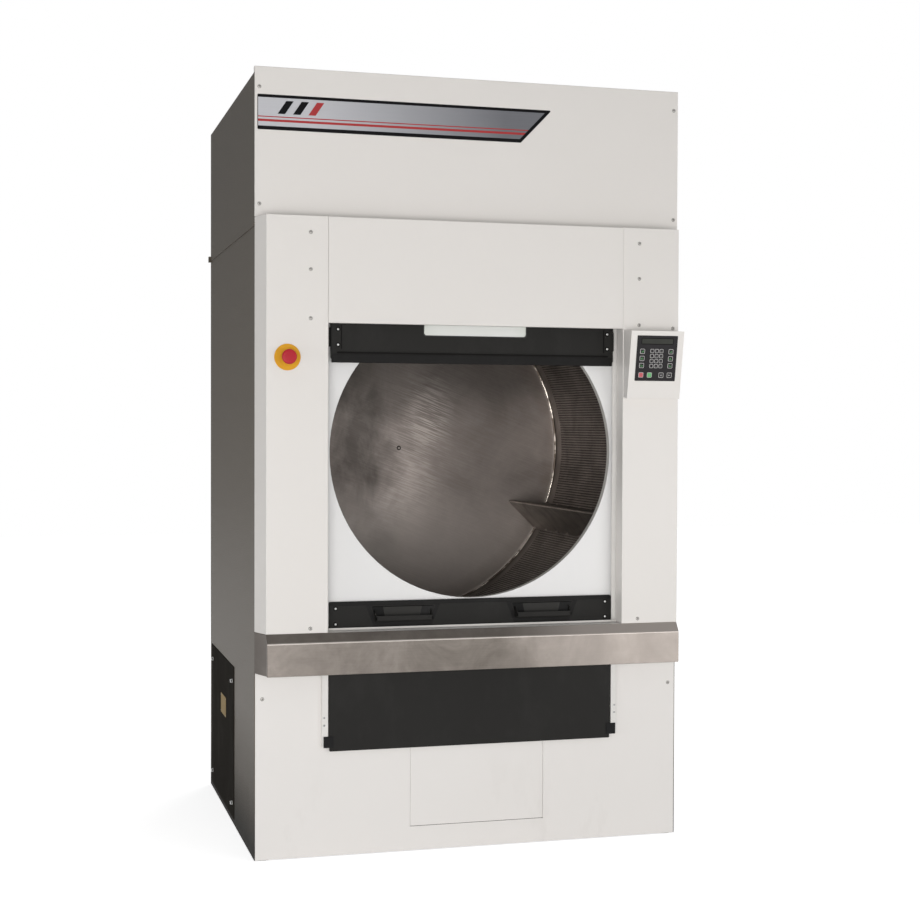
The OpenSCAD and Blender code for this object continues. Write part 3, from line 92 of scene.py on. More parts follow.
class Signal:  # one output in a material; sums on it add Math nodes
    __add__, __radd__ = operators("ADD")
    __sub__, __rsub__ = operators("SUBTRACT")
    __mul__, __rmul__ = operators("MULTIPLY")
    __truediv__, __rtruediv__ = operators("DIVIDE")
    __pow__, __rpow__ = operators("POWER")
    __mod__, __rmod__ = operators("FLOORED_MODULO")

    def __init__(self, look, socket):
        self.look = look
        self.socket = socket

    def join(self, operation, *pair):
        return self.look.add("ShaderNodeMath", {"operation": operation}, dict(enumerate(pair)))

    def pick(self, name):
        return Signal(self.look, self.socket.node.outputs[name])

    def __abs__(self):
        return self.join("ABSOLUTE", self)


class Look:  # the node tree of one material, or of the world
    def __init__(self, name, owner=None):
        self.owner = owner or bpy.data.materials.new(name)
        self.owner.use_nodes = True
        self.tree = self.owner.node_tree
        self.tree.nodes.clear()
        self.here = self.add("ShaderNodeTexCoord", out="Object")

    def add(self, kind, settings=None, inputs=None, out=0):
        node = self.tree.nodes.new(kind)
        for key, value in (settings or {}).items():
            if key == "stops":
                self.fillRamp(node.color_ramp.elements, value)
            else:
                setattr(node, key, value)
        for key, value in (inputs or {}).items():
            if isinstance(value, Signal):
                self.tree.links.new(value.socket, node.inputs[key])
            else:
                node.inputs[key].default_value = value
        return Signal(self, node.outputs[out]) if len(node.outputs) else None

    def fillRamp(self, elements, stops):  # each stop is (place, level)
        while len(elements) < len(stops):
            elements.new(0.5)
        for element, (place, level) in zip(elements, stops):
            element.position = place
            element.color = (level, level, level, 1)

    def ramp(self, value, *stops):
        return self.add("ShaderNodeValToRGB", {"stops": stops}, {"Fac": value}, "Color")

    def rise(self, value, low, high):  # from none at low to full at high
        return self.ramp(value, (low, 0.0), (high, 1.0))

    def fall(self, value, low, high):
        return self.ramp(value, (low, 1.0), (high, 0.0))

    def blend(self, mask, first, second):  # each colour is a signal or screen values
        first, second = (srgb(*c) if isinstance(c, tuple) else c for c in (first, second))
        return self.add("ShaderNodeMix", {"data_type": "RGBA"}, {0: mask, 6: first, 7: second}, 2)

    def noise(self, scale, detail=3.0, rough=0.5, stretch=None, warp=0.0, place=None):
        place = place or self.here
        if stretch:
            place = self.add("ShaderNodeVectorMath", {"operation": "MULTIPLY"}, {0: place, 1: stretch})
        return self.add("ShaderNodeTexNoise", None, {"Vector": place, "Scale": scale, "Detail": detail,
                        "Roughness": rough, "Distortion": warp}, "Fac")

    def cells(self, scale):
        return self.add("ShaderNodeTexVoronoi", None, {"Vector": self.here, "Scale": scale}, "Distance")

    def along(self, axis):  # one coordinate of the place on the surface
        return self.add("ShaderNodeSeparateXYZ", None, {0: self.here}, axis)

    def bump(self, height, depth):
        return self.add("ShaderNodeBump", None, {"Height": height, "Distance": depth})

    def either(self, first, *others):  # the greatest of several signals
        for other in others:
            first = self.add("ShaderNodeMath", {"operation": "MAXIMUM"}, {0: first, 1: other})
        return first

    def finish(self, **channels):
        names = {"colour": "Base Color", "rough": "Roughness", "metal": "Metallic", "normal": "Normal",
                 "coat": "Coat Weight", "coatRough": "Coat Roughness", "sheen": "Sheen Weight",
                 "level": "Specular IOR Level"}
        shader = self.add("ShaderNodeBsdfPrincipled", None, {names[k]: v for k, v in channels.items()})
        self.add("ShaderNodeOutputMaterial", None, {"Surface": shader})
        return self.owner


stage = {"half": 14, "bounce": (0.86, 0.86, 0.86, 1), "shown": (0.9, 0.9, 0.9, 1), "lift": 0.68,
         "air": (0.98, 0.99, 1.0, 1), "airLight": 0.40}


def makeFloor():  # lit evenly where it is seen, plain where it only bounces light
    half = stage["half"]
    floor = bpy.data.meshes.new("floor")
    floor.from_pydata([(-half, -half, 0), (half, -half, 0), (half, half, 0), (-half, half, 0)], [],
                      [(0, 1, 2, 3)])
    brightMask = bpy.data.objects.new("floor", floor)
    scene.collection.objects.link(brightMask)
    look = Look("paleFloor")
    rays = look.add("ShaderNodeLightPath", out="Is Camera Ray")
    seen = look.either(rays, rays.pick("Is Glossy Ray"), rays.pick("Is Transmission Ray"))
    matt = look.add("ShaderNodeBsdfDiffuse", None, {"Color": stage["bounce"]})
    pale = look.add("ShaderNodeBsdfDiffuse", None, {"Color": stage["shown"]})
    lift = look.add("ShaderNodeEmission", None, {"Color": (1, 1, 1, 1), "Strength": stage["lift"]})
    shown = look.add("ShaderNodeAddShader", None, {0: pale, 1: lift})
    both = look.add("ShaderNodeMixShader", None, {0: seen, 1: matt, 2: shown})
    look.add("ShaderNodeOutputMaterial", None, {"Surface": both})
    floor.materials.append(look.owner)


def makeAir():  # white behind the dryer, dimmer as a source of light
    scene.world = bpy.data.worlds.new("studio")
    air = Look("studio", scene.world)
    rays = air.add("ShaderNodeLightPath", out="Is Camera Ray")
    seen = air.either(rays, rays.pick("Is Transmission Ray"))
    dim = air.add("ShaderNodeBackground", None, {"Color": stage["air"], "Strength": stage["airLight"]})
    white = air.add("ShaderNodeBackground", None, {"Color": (1, 1, 1, 1), "Strength": 1.0})
    both = air.add("ShaderNodeMixShader", None, {0: seen, 1: dim, 2: white})
    air.add("ShaderNodeOutputWorld", None, {"Surface": both})


warmWhite = (1.0, 0.99, 0.98)
plainWhite = (1.0, 1.0, 1.0)
lamps = {
    "key": {"place": (-2.0, -6.0, 0.9), "target": (0.1, 0, 0.9), "size": (3.0, 1.7), "power": 133,
            "colour": warmWhite},
    "fill": {"place": (2.9, -5.3, 0.9), "target": (0, 0, 0.9), "size": (2.6, 1.7), "power": 48,
             "colour": warmWhite},
    "side": {"place": (-5.2, -2.6, 0.8), "target": (0, 0.2, 0.8), "size": (2.4, 1.5), "power": 25,
             "colour": plainWhite},
    "back": {"place": (2.5, 4.5, 3.6), "target": (0, 0.4, 1.2), "size": (3.0, 3.0), "power": 60,
             "colour": plainWhite}}


def makeLamp(name, place, target, size, power, colour):
    data = bpy.data.lights.new(name, "AREA")
    data.shape = "RECTANGLE"
    data.size, data.size_y = size
    data.energy = power
    data.color = colour
    lamp = bpy.data.objects.new(name, data)
    scene.collection.objects.link(lamp)
    lamp.location = place
    lamp.rotation_euler = (Vector(target) - Vector(place)).to_track_quat("-Z", "Y").to_euler()
    lamp.visible_camera = False


makeFloor()
makeAir()
for name, lamp in lamps.items():
    makeLamp(name, **lamp)
print("stage ready")


# Materials. Colours are screen values, and the other sizes are in metres.
def enamel(name, paint):  # smooth enamel on sheet steel, a little dusty near the floor
    look = Look(name)
    drift = look.noise(1.3, 2.0)
    specks = look.noise(260.0, 2.0)
    scuff = look.rise(look.noise(5.0, 5.0, 0.7, (1, 1, 0.35)), 0.58, 0.74)
    dust = scuff * look.fall(look.along("Z"), 0.02, 0.32) * paint["dust"]
    tint = look.blend(drift, paint["colour"], paint["shade"])
    tint = look.blend(dust, tint, (150, 141, 130))
    rough = paint["rough"] + 0.10 * (drift - 0.5) + 0.25 * dust
    normal = look.bump(look.noise(paint["peel"], 1.0) + 0.15 * specks, paint["depth"])
    return look.finish(colour=tint, rough=rough, normal=normal, coat=0.25, coatRough=0.18)


def hammered(name, paint):  # speckled grey paint with a fine hammered skin, with painted shade at its foot and its top
    look = Look(name)
    z = look.along("Z")
    cells = look.cells(paint["scale"])
    grain = look.noise(paint["scale"] * 2.3, 3.0, 0.6)
    streak = look.noise(6.0, 3.0, 0.55, (1.0, 1.0, 0.06))
    tint = look.blend(look.rise(cells, 0.15, 0.75), paint["colour"], paint["shade"])
    tint = look.blend(look.ramp(grain, (0.62, 0.0), (0.74, 0.55)), tint, paint["fleck"])
    tint = look.blend(0.35 * streak, tint, paint["shade"])
    # painted shade: much darker towards the floor, with a wobbly edge, and rougher there
    footShadeEdge = look.noise(2.5, 4.0, 0.6, (1, 1, 0.3))
    paintedFootShade = look.ramp(z + 0.12 * (footShadeEdge - 0.5), (0.03, 1.0), (0.20, 0.35), (0.42, 0.0))
    tint = look.blend(0.92 * paintedFootShade, tint, (32, 31, 29))
    # painted shade: darker towards the top
    tint = look.blend(0.55 * look.rise(0.4 * z, 0.50, 0.90), tint, (70, 65, 58))
    rough = paint["rough"] + 0.16 * (grain - 0.5) + 0.3 * paintedFootShade
    normal = look.bump(cells + 0.4 * grain, paint["depth"])
    return look.finish(colour=tint, rough=rough, normal=normal, level=0.16)


def powder(name, base, **changes):  # fine textured powder coat
    look = Look(name)
    paint = dict(base, **changes)
    grain = look.noise(paint["scale"], 3.0, 0.6)
    drift = look.noise(3.0, 3.0)
    wipe = look.rise(look.noise(9.0, 5.0, 0.65, (1, 1, 0.5)), 0.50, 0.78)
    tint = look.blend(0.5 * drift + 0.25 * grain, paint["colour"], paint["shade"])
    tint = look.blend(paint["wear"] * wipe, tint, paint["fleck"])
    rough = paint["rough"] + 0.12 * (drift - 0.5) - 0.08 * wipe
    normal = look.bump(grain, paint["depth"])
    return look.finish(colour=tint, rough=rough, normal=normal, level=paint["level"])


def brushed(name, base, **changes):  # brushed or drawn metal with soft stains
    look = Look(name)
    metal = dict(base, **changes)
    along = {"x": (1.5, 90, 90), "y": (90, 1.5, 90), "z": (90, 90, 1.5), "": (30, 30, 30)}[metal["grain"]]
    lines = look.noise(7.0, 5.0, 0.7, along)
    clouds = look.noise(metal["clouds"], 5.0, 0.62, warp=0.6)
    fine = look.noise(metal["clouds"] * 5, 4.0, 0.6)
    tint = look.blend(look.rise(clouds, 0.34, 0.68), metal["colour"], metal["shade"])
    tint = look.blend(0.35 * look.rise(fine, 0.40, 0.65), tint, metal["shade"])
    tint = look.blend(0.25 * lines, tint, metal["bright"])
    if "glow" in metal:  # painted reflection: lighter metal towards the ends of a long sheet
        reflectionMask = look.ramp(0.7 * look.along("X") + 0.5 + 0.1 * (clouds - 0.5), *metal["glow"])
        tint = look.blend(reflectionMask, tint, metal["reflectionColour"])
    rough = metal["rough"] + 0.22 * (lines - 0.5) + 0.18 * (clouds - 0.5)
    normal = look.bump(lines, metal["depth"])
    return look.finish(colour=tint, rough=rough, metal=metal["metal"], normal=normal)


def castIron(name, colour, shade, fleck, rough=0.5):
    look = Look(name)
    grain = look.noise(220.0, 4.0, 0.6)
    pits = look.cells(160.0)
    tint = look.blend(look.noise(8.0, 4.0), colour, shade)
    tint = look.blend(look.ramp(grain, (0.6, 0.0), (0.75, 0.6)), tint, fleck)
    normal = look.bump(grain + 0.5 * pits, 0.0006)
    return look.finish(colour=tint, rough=rough + 0.2 * (grain - 0.5), normal=normal)


def rubbery(name):
    look = Look(name)
    grain = look.noise(340.0, 3.0)
    dust = look.rise(look.noise(14.0, 5.0, 0.6), 0.5, 0.8)
    tint = look.blend(0.4 * dust, (34, 34, 34), (62, 60, 58))
    return look.finish(colour=tint, rough=0.62 + 0.1 * (grain - 0.5), normal=look.bump(grain, 0.0002))


def moulded(name, colour, shade, rough=0.5, level=0.5):  # plastic
    look = Look(name)
    drift = look.noise(30.0, 3.0)
    normal = look.bump(look.noise(500.0, 2.0), 0.00008)
    tint = look.blend(drift, colour, shade)
    return look.finish(colour=tint, rough=rough + 0.08 * (drift - 0.5), normal=normal, level=level)


def felted(name):
    look = Look(name)
    fibre = look.noise(900.0, 4.0, 0.7, (1, 1, 3))
    tint = look.blend(fibre, (70, 62, 56), (112, 102, 92))
    return look.finish(colour=tint, rough=0.95, normal=look.bump(fibre, 0.0012), sheen=0.3)


def milkyPane(name, half=0.164):  # white pane, a little duller and greener at its sides
    look = Look(name)
    smear = look.rise(look.noise(7.0, 4.0, 0.6), 0.5, 0.8)
    away = abs(look.along("X")) / half
    tint = look.blend(look.rise(away, 0.72, 1.0), (228, 229, 225), (220, 223, 216))
    tint = look.blend(0.3 * smear, tint, (220, 221, 214))
    return look.finish(colour=tint, rough=0.16 + 0.12 * smear, coat=0.6, coatRough=0.05)


def silverFilm(name):  # fades to grey towards its right end
    look = Look(name)
    grain = look.noise(60.0, 3.0, 0.5, (0.1, 1, 8))
    tint = look.blend(look.rise(look.along("X") + 0.5, 0.0, 0.6), (196, 196, 200), (104, 105, 110))
    tint = look.blend(0.2 * grain, tint, (150, 151, 155))
    return look.finish(colour=tint, rough=0.36 + 0.1 * grain, metal=0.3)


drum = {"axis": axisZ / 1000, "rows": 420, "pitch": 0.0075, "hole": 0.30, "from": 0.064, "to": 0.912,
        "colour": (118, 112, 107), "shade": (91, 86, 81), "groove": (64, 59, 55), "dark": (14, 13, 12)}


def perforated(name):  # rolled stainless wall with rows of small holes
    look = Look(name)
    d = drum
    x, y, z = (look.along(axis) for axis in "XYZ")
    turn = look.add("ShaderNodeMath", {"operation": "ARCTAN2"}, {0: z - d["axis"], 1: x})
    row = turn * (d["rows"] / math.tau) + 1000.0
    rowPart = row % 1.0
    step = y / d["pitch"] + 0.5 * ((row - rowPart) % 2.0) + 1000.0
    stepPart = step % 1.0
    away = ((rowPart - 0.5) * (rowPart - 0.5) * 1.5 + (stepPart - 0.5) * (stepPart - 0.5)) ** 0.5
    holes = look.fall(away, d["hole"] - 0.06, d["hole"] + 0.06)
    groove = look.fall(abs(rowPart - 0.5), 0.14, 0.34)
    zone = look.ramp(y - frontY, (d["from"], 0.0), (d["from"] + 0.002, 1.0), (d["to"], 1.0),
                     (d["to"] + 0.002, 0.0))
    clouds = look.noise(9.0, 5.0, 0.6, warp=0.5)
    tint = look.blend(look.rise(clouds, 0.35, 0.7), d["colour"], d["shade"])
    # painted shade: grooves darkened, holes near-black
    tint = look.blend(zone * groove * 0.40, tint, d["groove"])
    tint = look.blend(zone * holes, tint, d["dark"])
    rough = 0.40 + 0.2 * (clouds - 0.5) + 0.4 * zone * holes
    normal = look.bump(0.0 - zone * (holes + 0.5 * groove), 0.0012)
    return look.finish(colour=tint, rough=rough, metal=0.85, normal=normal)


# the dark tone is painted shade; the bright tone serves scratches and painted light
backPlate = {"colour": (176, 165, 159), "shade": (146, 136, 130), "scratchAndHighlight": (226, 216, 208),
             "paintedShade": (72, 67, 63), "rust": (92, 80, 70), "metal": 0.72, "patch": (0.115, 0.14)}


def swirled(name):  # stainless plate polished in overlapping strokes, worn bright in one place that is also a painted highlight; painted shade on its left and top, painted light in its middle and lower part
    look = Look(name)
    p = backPlate
    x, y, z = (look.along(axis) for axis in "XYZ")
    over = z - drum["axis"]
    # strokes that fall a little from upper left to lower right
    slant = look.add("ShaderNodeCombineXYZ", None, {0: 0.93 * x - 0.37 * over, 1: y,
                                                    2: 0.37 * x + 0.93 * over})
    strokes = look.noise(2.0, 4.0, 0.6, (5, 1, 105), 0.15, slant)
    clouds = look.noise(3.4, 6.0, 0.60, warp=0.8)
    small = look.noise(13.0, 6.0, 0.65, warp=0.5)
    wisps = look.noise(7.0, 6.0, 0.60, (1.4, 1, 0.8), 0.4)
    cloudy = clouds - 0.5
    tint = look.blend(look.rise(clouds, 0.38, 0.66), p["colour"], p["shade"])
    tint = look.blend(0.35 * look.rise(small, 0.42, 0.70), tint, p["shade"])
    # worn patch, which is also a painted highlight
    right, high = x - p["patch"][0], over - p["patch"][1]
    patch = (right * right + high * high * 0.4) ** 0.5
    wornHighlight = look.fall(patch + 0.10 * (small - 0.5), 0.01, 0.10)
    # painted light: a broad band of brighter strokes across the middle
    band = look.fall(abs(x - 0.06 - 0.2 * over) + 0.08 * cloudy, 0.05, 0.17)
    band = band * look.fall(abs(over - 0.02) + 0.10 * cloudy, 0.16, 0.34)
    brightMask = 0.08 + 0.60 * wornHighlight + 0.22 * band
    tint = look.blend(brightMask * look.rise(strokes, 0.44, 0.62), tint, p["scratchAndHighlight"])
    # painted shade on the left side and on the top
    left = look.rise(0.5 - x + 0.12 * cloudy, 0.45, 0.60)
    tint = look.blend(left * (0.48 + 0.36 * look.fall(wisps, 0.38, 0.64)), tint, p["paintedShade"])
    tint = look.blend(0.66 * look.rise(over + 0.08 * cloudy, 0.08, 0.24), tint, p["paintedShade"])
    # painted light: lighter towards the bottom
    tint = look.blend(0.5 * look.rise(0.5 - over, 0.62, 0.92), tint, p["scratchAndHighlight"])
    radius = (x * x + over * over) ** 0.5
    tint = look.blend(0.35 * look.rise(radius + 0.05 * cloudy, 0.53, 0.59), tint, p["rust"])
    rough = 0.42 + 0.25 * cloudy - 0.10 * (strokes - 0.5)
    normal = look.bump(strokes + 0.6 * small, 0.0005)
    return look.finish(colour=tint, rough=rough, metal=p["metal"], normal=normal)


def weldBead(name):  # painted highlights on random segments of the bead
    look = Look(name)
    brightMask = look.rise(look.noise(11.0, 4.0, 0.6), 0.47, 0.57)
    tint = look.blend(brightMask, (104, 92, 82), (224, 214, 202))
    normal = look.bump(look.noise(120.0, 3.0), 0.0008)
    return look.finish(colour=tint, rough=0.45 - 0.2 * brightMask, metal=0.85, normal=normal)


whitePaint = {"colour": (224, 220, 216), "shade": (220, 216, 211), "rough": 0.42, "dust": 0.25,
              "peel": 90.0, "depth": 0.00012}
# lighter copies of the white enamel: painted light on the front plate, and on the lower front panel and lint
# cover
innerPaintLit = dict(whitePaint, colour=(228, 227, 226), shade=(224, 223, 222), dust=0.0)
lowPaintLit = dict(whitePaint, colour=(230, 227, 224), shade=(226, 222, 218), dust=0.15)
sidePaint = {"colour": (103, 94, 82), "shade": (87, 79, 68), "fleck": (120, 111, 98), "rough": 0.46,
             "scale": 240.0, "depth": 0.0007}
blackPaint = {"colour": (36, 33, 28), "shade": (30, 27, 24), "fleck": (54, 50, 45), "wear": 0.3,
              "rough": 0.85, "scale": 400.0, "depth": 0.0002, "level": 0.02}
doorPaint = {"colour": (33, 32, 30), "shade": (28, 27, 26), "fleck": (54, 53, 51), "wear": 0.22,
             "rough": 0.50, "scale": 520.0, "depth": 0.00025, "level": 0.15}
# the sill's last two entries paint its reflection: lighter metal towards its ends, most at the right
sillMetal = {"grain": "x", "colour": (124, 117, 111), "shade": (82, 76, 70), "bright": (166, 159, 152),
             "rough": 0.38, "clouds": 6.0, "metal": 0.85, "depth": 0.00008, "reflectionColour": (204, 194, 187),
             "glow": [(0.04, 0.06), (0.30, 0.0), (0.55, 0.0), (0.74, 0.25), (0.98, 0.34)]}
# a stronger painted reflection for the sloped top
slopeReflection = [(0.3, 0.0), (0.55, 0.0), (0.74, 0.70), (0.98, 0.85)]
zincMetal = {"grain": "", "colour": (186, 186, 184), "shade": (150, 150, 150), "bright": (214, 214, 212),
             "rough": 0.36, "clouds": 16.0, "metal": 0.85, "depth": 0.0001}
trackMetal = {"grain": "z", "colour": (226, 224, 220), "shade": (218, 215, 211), "bright": (232, 230, 227),
              "rough": 0.55, "clouds": 9.0, "metal": 0.0, "depth": 0.00006}
lifterMetal = {"grain": "y", "colour": (164, 156, 149), "shade": (116, 109, 103), "bright": (200, 192, 184),
               "rough": 0.42, "clouds": 10.0, "metal": 0.85, "depth": 0.0002}

looks = {
    "white": enamel("whiteEnamel", whitePaint),
    "inner": enamel("innerEnamelLit", innerPaintLit),
    "low": enamel("lowerEnamelLit", lowPaintLit),
    "side": hammered("sidePaint", sidePaint),
    "hood": hammered("louvrePaint", dict(sidePaint, scale=300.0)),
    "black": powder("blackPaint", blackPaint),
    "door": powder("doorCoat", doorPaint),
    # a darker copy of the door coat for the hem bands, and a painted shadow round the grip pockets
    "darkHemAndShadow": powder("darkHemAndShadow", doorPaint, colour=(21, 20, 19), shade=(17, 16, 16), wear=0.1),
    "frame": powder("framePrimer", doorPaint, colour=(76, 73, 70), shade=(60, 58, 56), wear=0.4),
    # a lighter copy of the door coat: painted light on the pockets' back panels
    "handlePanelLit": powder("handlePanelLit", doorPaint, colour=(52, 51, 49), shade=(46, 45, 43)),
    # a near-black copy of the door coat: painted shade on the pockets' walls
    "pocket": powder("handlePocketShade", doorPaint, colour=(12, 11, 11), shade=(9, 9, 8), wear=0.05),
    "sill": brushed("sillStainless", sillMetal),
    # copies of the sill's stainless: a stronger painted reflection on the slope, a painted highlight on the
    # nose, painted shade on the left end
    "sillSlopeReflection": brushed("sillSlopeReflection", sillMetal, colour=(128, 121, 114), shade=(96, 89, 83),
                         bright=(168, 160, 152), glow=slopeReflection),
    "sillNoseHighlight": brushed("sillNoseHighlight", sillMetal, colour=(214, 207, 200), shade=(190, 182, 175)),
    "sillEndShaded": brushed("sillEndShaded", sillMetal, grain="z", colour=(92, 85, 78), shade=(74, 67, 61),
                       bright=(112, 104, 97)),
    "zinc": brushed("zincPlate", zincMetal),
    "sheet": brushed("galvanisedSheet", zincMetal, colour=(176, 178, 180), shade=(140, 143, 147), clouds=26.0,
                     rough=0.44),
    "screw": brushed("screwZinc", zincMetal, colour=(178, 175, 170), shade=(156, 153, 148),
                     bright=(202, 200, 196), metal=0.4),
    "stud": brushed("studNickel", zincMetal, colour=(240, 240, 238), shade=(222, 222, 220), metal=0.4,
                    rough=0.3),
    "shaft": brushed("groundShaft", zincMetal, grain="y", colour=(170, 168, 164), rough=0.28),
    "coil": brushed("coilCopper", zincMetal, colour=(176, 128, 96), shade=(140, 98, 74)),
    "foil": brushed("goldFoil", zincMetal, grain="z", colour=(148, 122, 62), shade=(122, 98, 48),
                    bright=(170, 146, 86), rough=0.7, metal=0.1),
    "track": brushed("trackAluminium", trackMetal),
    "rim": brushed("rimMetal", trackMetal, grain="", colour=(222, 220, 214), shade=(204, 201, 195),
                   metal=0.15),
    "lifter": brushed("lifterStainless", lifterMetal),
    "wall": perforated("drumWall"),
    "back": swirled("drumBack"),
    "weld": weldBead("weldBead"),
    "iron": castIron("ironBlue", (70, 86, 104), (56, 70, 86), (96, 110, 126)),
    "pulley": castIron("ironDark", (72, 72, 72), (56, 56, 57), (98, 98, 98)),
    "motor": castIron("motorPaint", (84, 94, 104), (70, 79, 88), (100, 110, 120), 0.45),
    "rubber": rubbery("beltRubber"),
    "felt": felted("sealFelt"),
    "glass": milkyPane("milkyPane"),
    "nylon": moulded("blackNylon", (24, 24, 24), (19, 19, 20), 0.6, 0.15),
    "yellow": moulded("stopYellow", (222, 164, 36), (210, 150, 30), 0.5, 0.2),
    "red": moulded("stopRed", (184, 34, 48), (168, 28, 42), 0.42, 0.25),
    # near-black for slots, grooves, gaps and the rings round and under heads: painted shade
    "recess": moulded("paintedRecessShade", (20, 19, 18), (14, 13, 12), 0.7, 0.1),
    "keypadFilm": moulded("keypadFilm", (44, 42, 44), (39, 37, 39), 0.5, 0.12),
    "display": moulded("displayWindow", (36, 38, 30), (30, 32, 26), 0.3, 0.2),
    "keyLine": moulded("keyOutline", (206, 204, 202), (196, 194, 192)),
    "keyMark": moulded("keyGreenMark", (86, 158, 92), (78, 146, 84)),
    "keyWhite": moulded("keyWhiteMark", (176, 176, 176), (166, 166, 166)),
    "keyRed": moulded("keyRed", (196, 84, 92), (180, 70, 80), 0.4),
    "keyGreen": moulded("keyGreen", (96, 176, 108), (84, 160, 96), 0.4),
    "trimBlack": moulded("trimBlack", (16, 16, 18), (12, 12, 14), 0.5, 0.1),
    "trimSilver": silverFilm("trimFilm"),
    "trimRed": moulded("trimRed", (170, 42, 44), (156, 36, 38), 0.4),
}
print("materials ready", len(looks))


# Makers of shapes. Loops are lists of (u, v) in the plane square to an axis.
planes = {"x": lambda u, v, depth: (depth, u, v), "y": lambda u, v, depth: (u, depth, v),
          "z": lambda u, v, depth: (u, v, depth)}


def bend(point, into, out, radius, steps):  # arc that rounds one corner of a line
    turn = math.atan2(into.x * out.y - into.y * out.x, into.dot(out))
    if abs(turn) < 0.01 or radius <= 0:
        return [tuple(point)]
    reach = radius * math.tan(abs(turn) / 2)
    side = math.copysign(radius, turn)
    centre = point - into * reach + Vector((-into.y, into.x)) * side
    start = math.atan2(*(point - into * reach - centre).yx)
    return [(centre.x + radius * math.cos(start + turn * k / steps),
             centre.y + radius * math.sin(start + turn * k / steps)) for k in range(steps + 1)]


def filleted(corners, radii, steps=4):  # closed loop with round corners
    spots = [Vector(c) for c in corners]
    loop = []
    for i, spot in enumerate(spots):
        radius = radii[i] if isinstance(radii, list) else radii
        ahead = spots[(i + 1) % len(spots)] - spot
        loop += bend(spot, (spot - spots[i - 1]).normalized(), ahead.normalized(), radius, steps)
    return loop


def offset(spot, into, out, distance):  # a corner moved to the left of both its edges
    first, second = Vector((-into.y, into.x)), Vector((-out.y, out.x))
    return spot + (first + second) * distance / (1 + first.dot(second))


def inset(corners, distance):  # the same loop, drawn in on every side
    spots = [Vector(c) for c in corners]
    ways = [(spots[(i + 1) % len(spots)] - spot).normalized() for i, spot in enumerate(spots)]
    return [tuple(offset(spot, ways[i - 1], ways[i], distance)) for i, spot in enumerate(spots)]


def drawn(corners, radius, distance, steps=4):  # drawn in, with the radius as it was
    return filleted(inset(corners, distance), radius, steps)


def rim(corners, radii, distance, steps=4):  # drawn in, with smaller radii
    if isinstance(radii, list):
        return drawn(corners, [max(r - distance, 0.3) for r in radii], distance, steps)
    return drawn(corners, max(radii - distance, 0.3), distance, steps)


def folded(line, thickness, radius, steps=3):  # section of a bent sheet that lies left of its line
    spots = [Vector(p) for p in line]
    ways = [(b - a).normalized() for a, b in zip(spots, spots[1:])]
    near, far = [], []
    for spot, into, out in zip(spots, ways[:1] + ways, ways + ways[-1:]):
        leftward = into.x * out.y - into.y * out.x > 0
        small = max(radius - thickness, 0.3)
        near += bend(spot, into, out, radius if leftward else small, steps)
        far += bend(offset(spot, into, out, thickness), into, out, small if leftward else radius, steps)
    return near + far[::-1]


def rectangle(left, low, right, high):
    return [(left, low), (right, low), (right, high), (left, high)]


def circle(centre, radius, count=48, start=0.0):
    turns = [start + math.tau * i / count for i in range(count)]
    return [(centre[0] + radius * math.cos(t), centre[1] + radius * math.sin(t)) for t in turns]


def roundEdges(thing, width, segments=2, angle=35):
    soft = thing.modifiers.new("roundedEdges", "BEVEL")
    soft.width = width / 1000
    soft.segments = segments
    soft.limit_method = "ANGLE"
    soft.angle_limit = math.radians(angle)


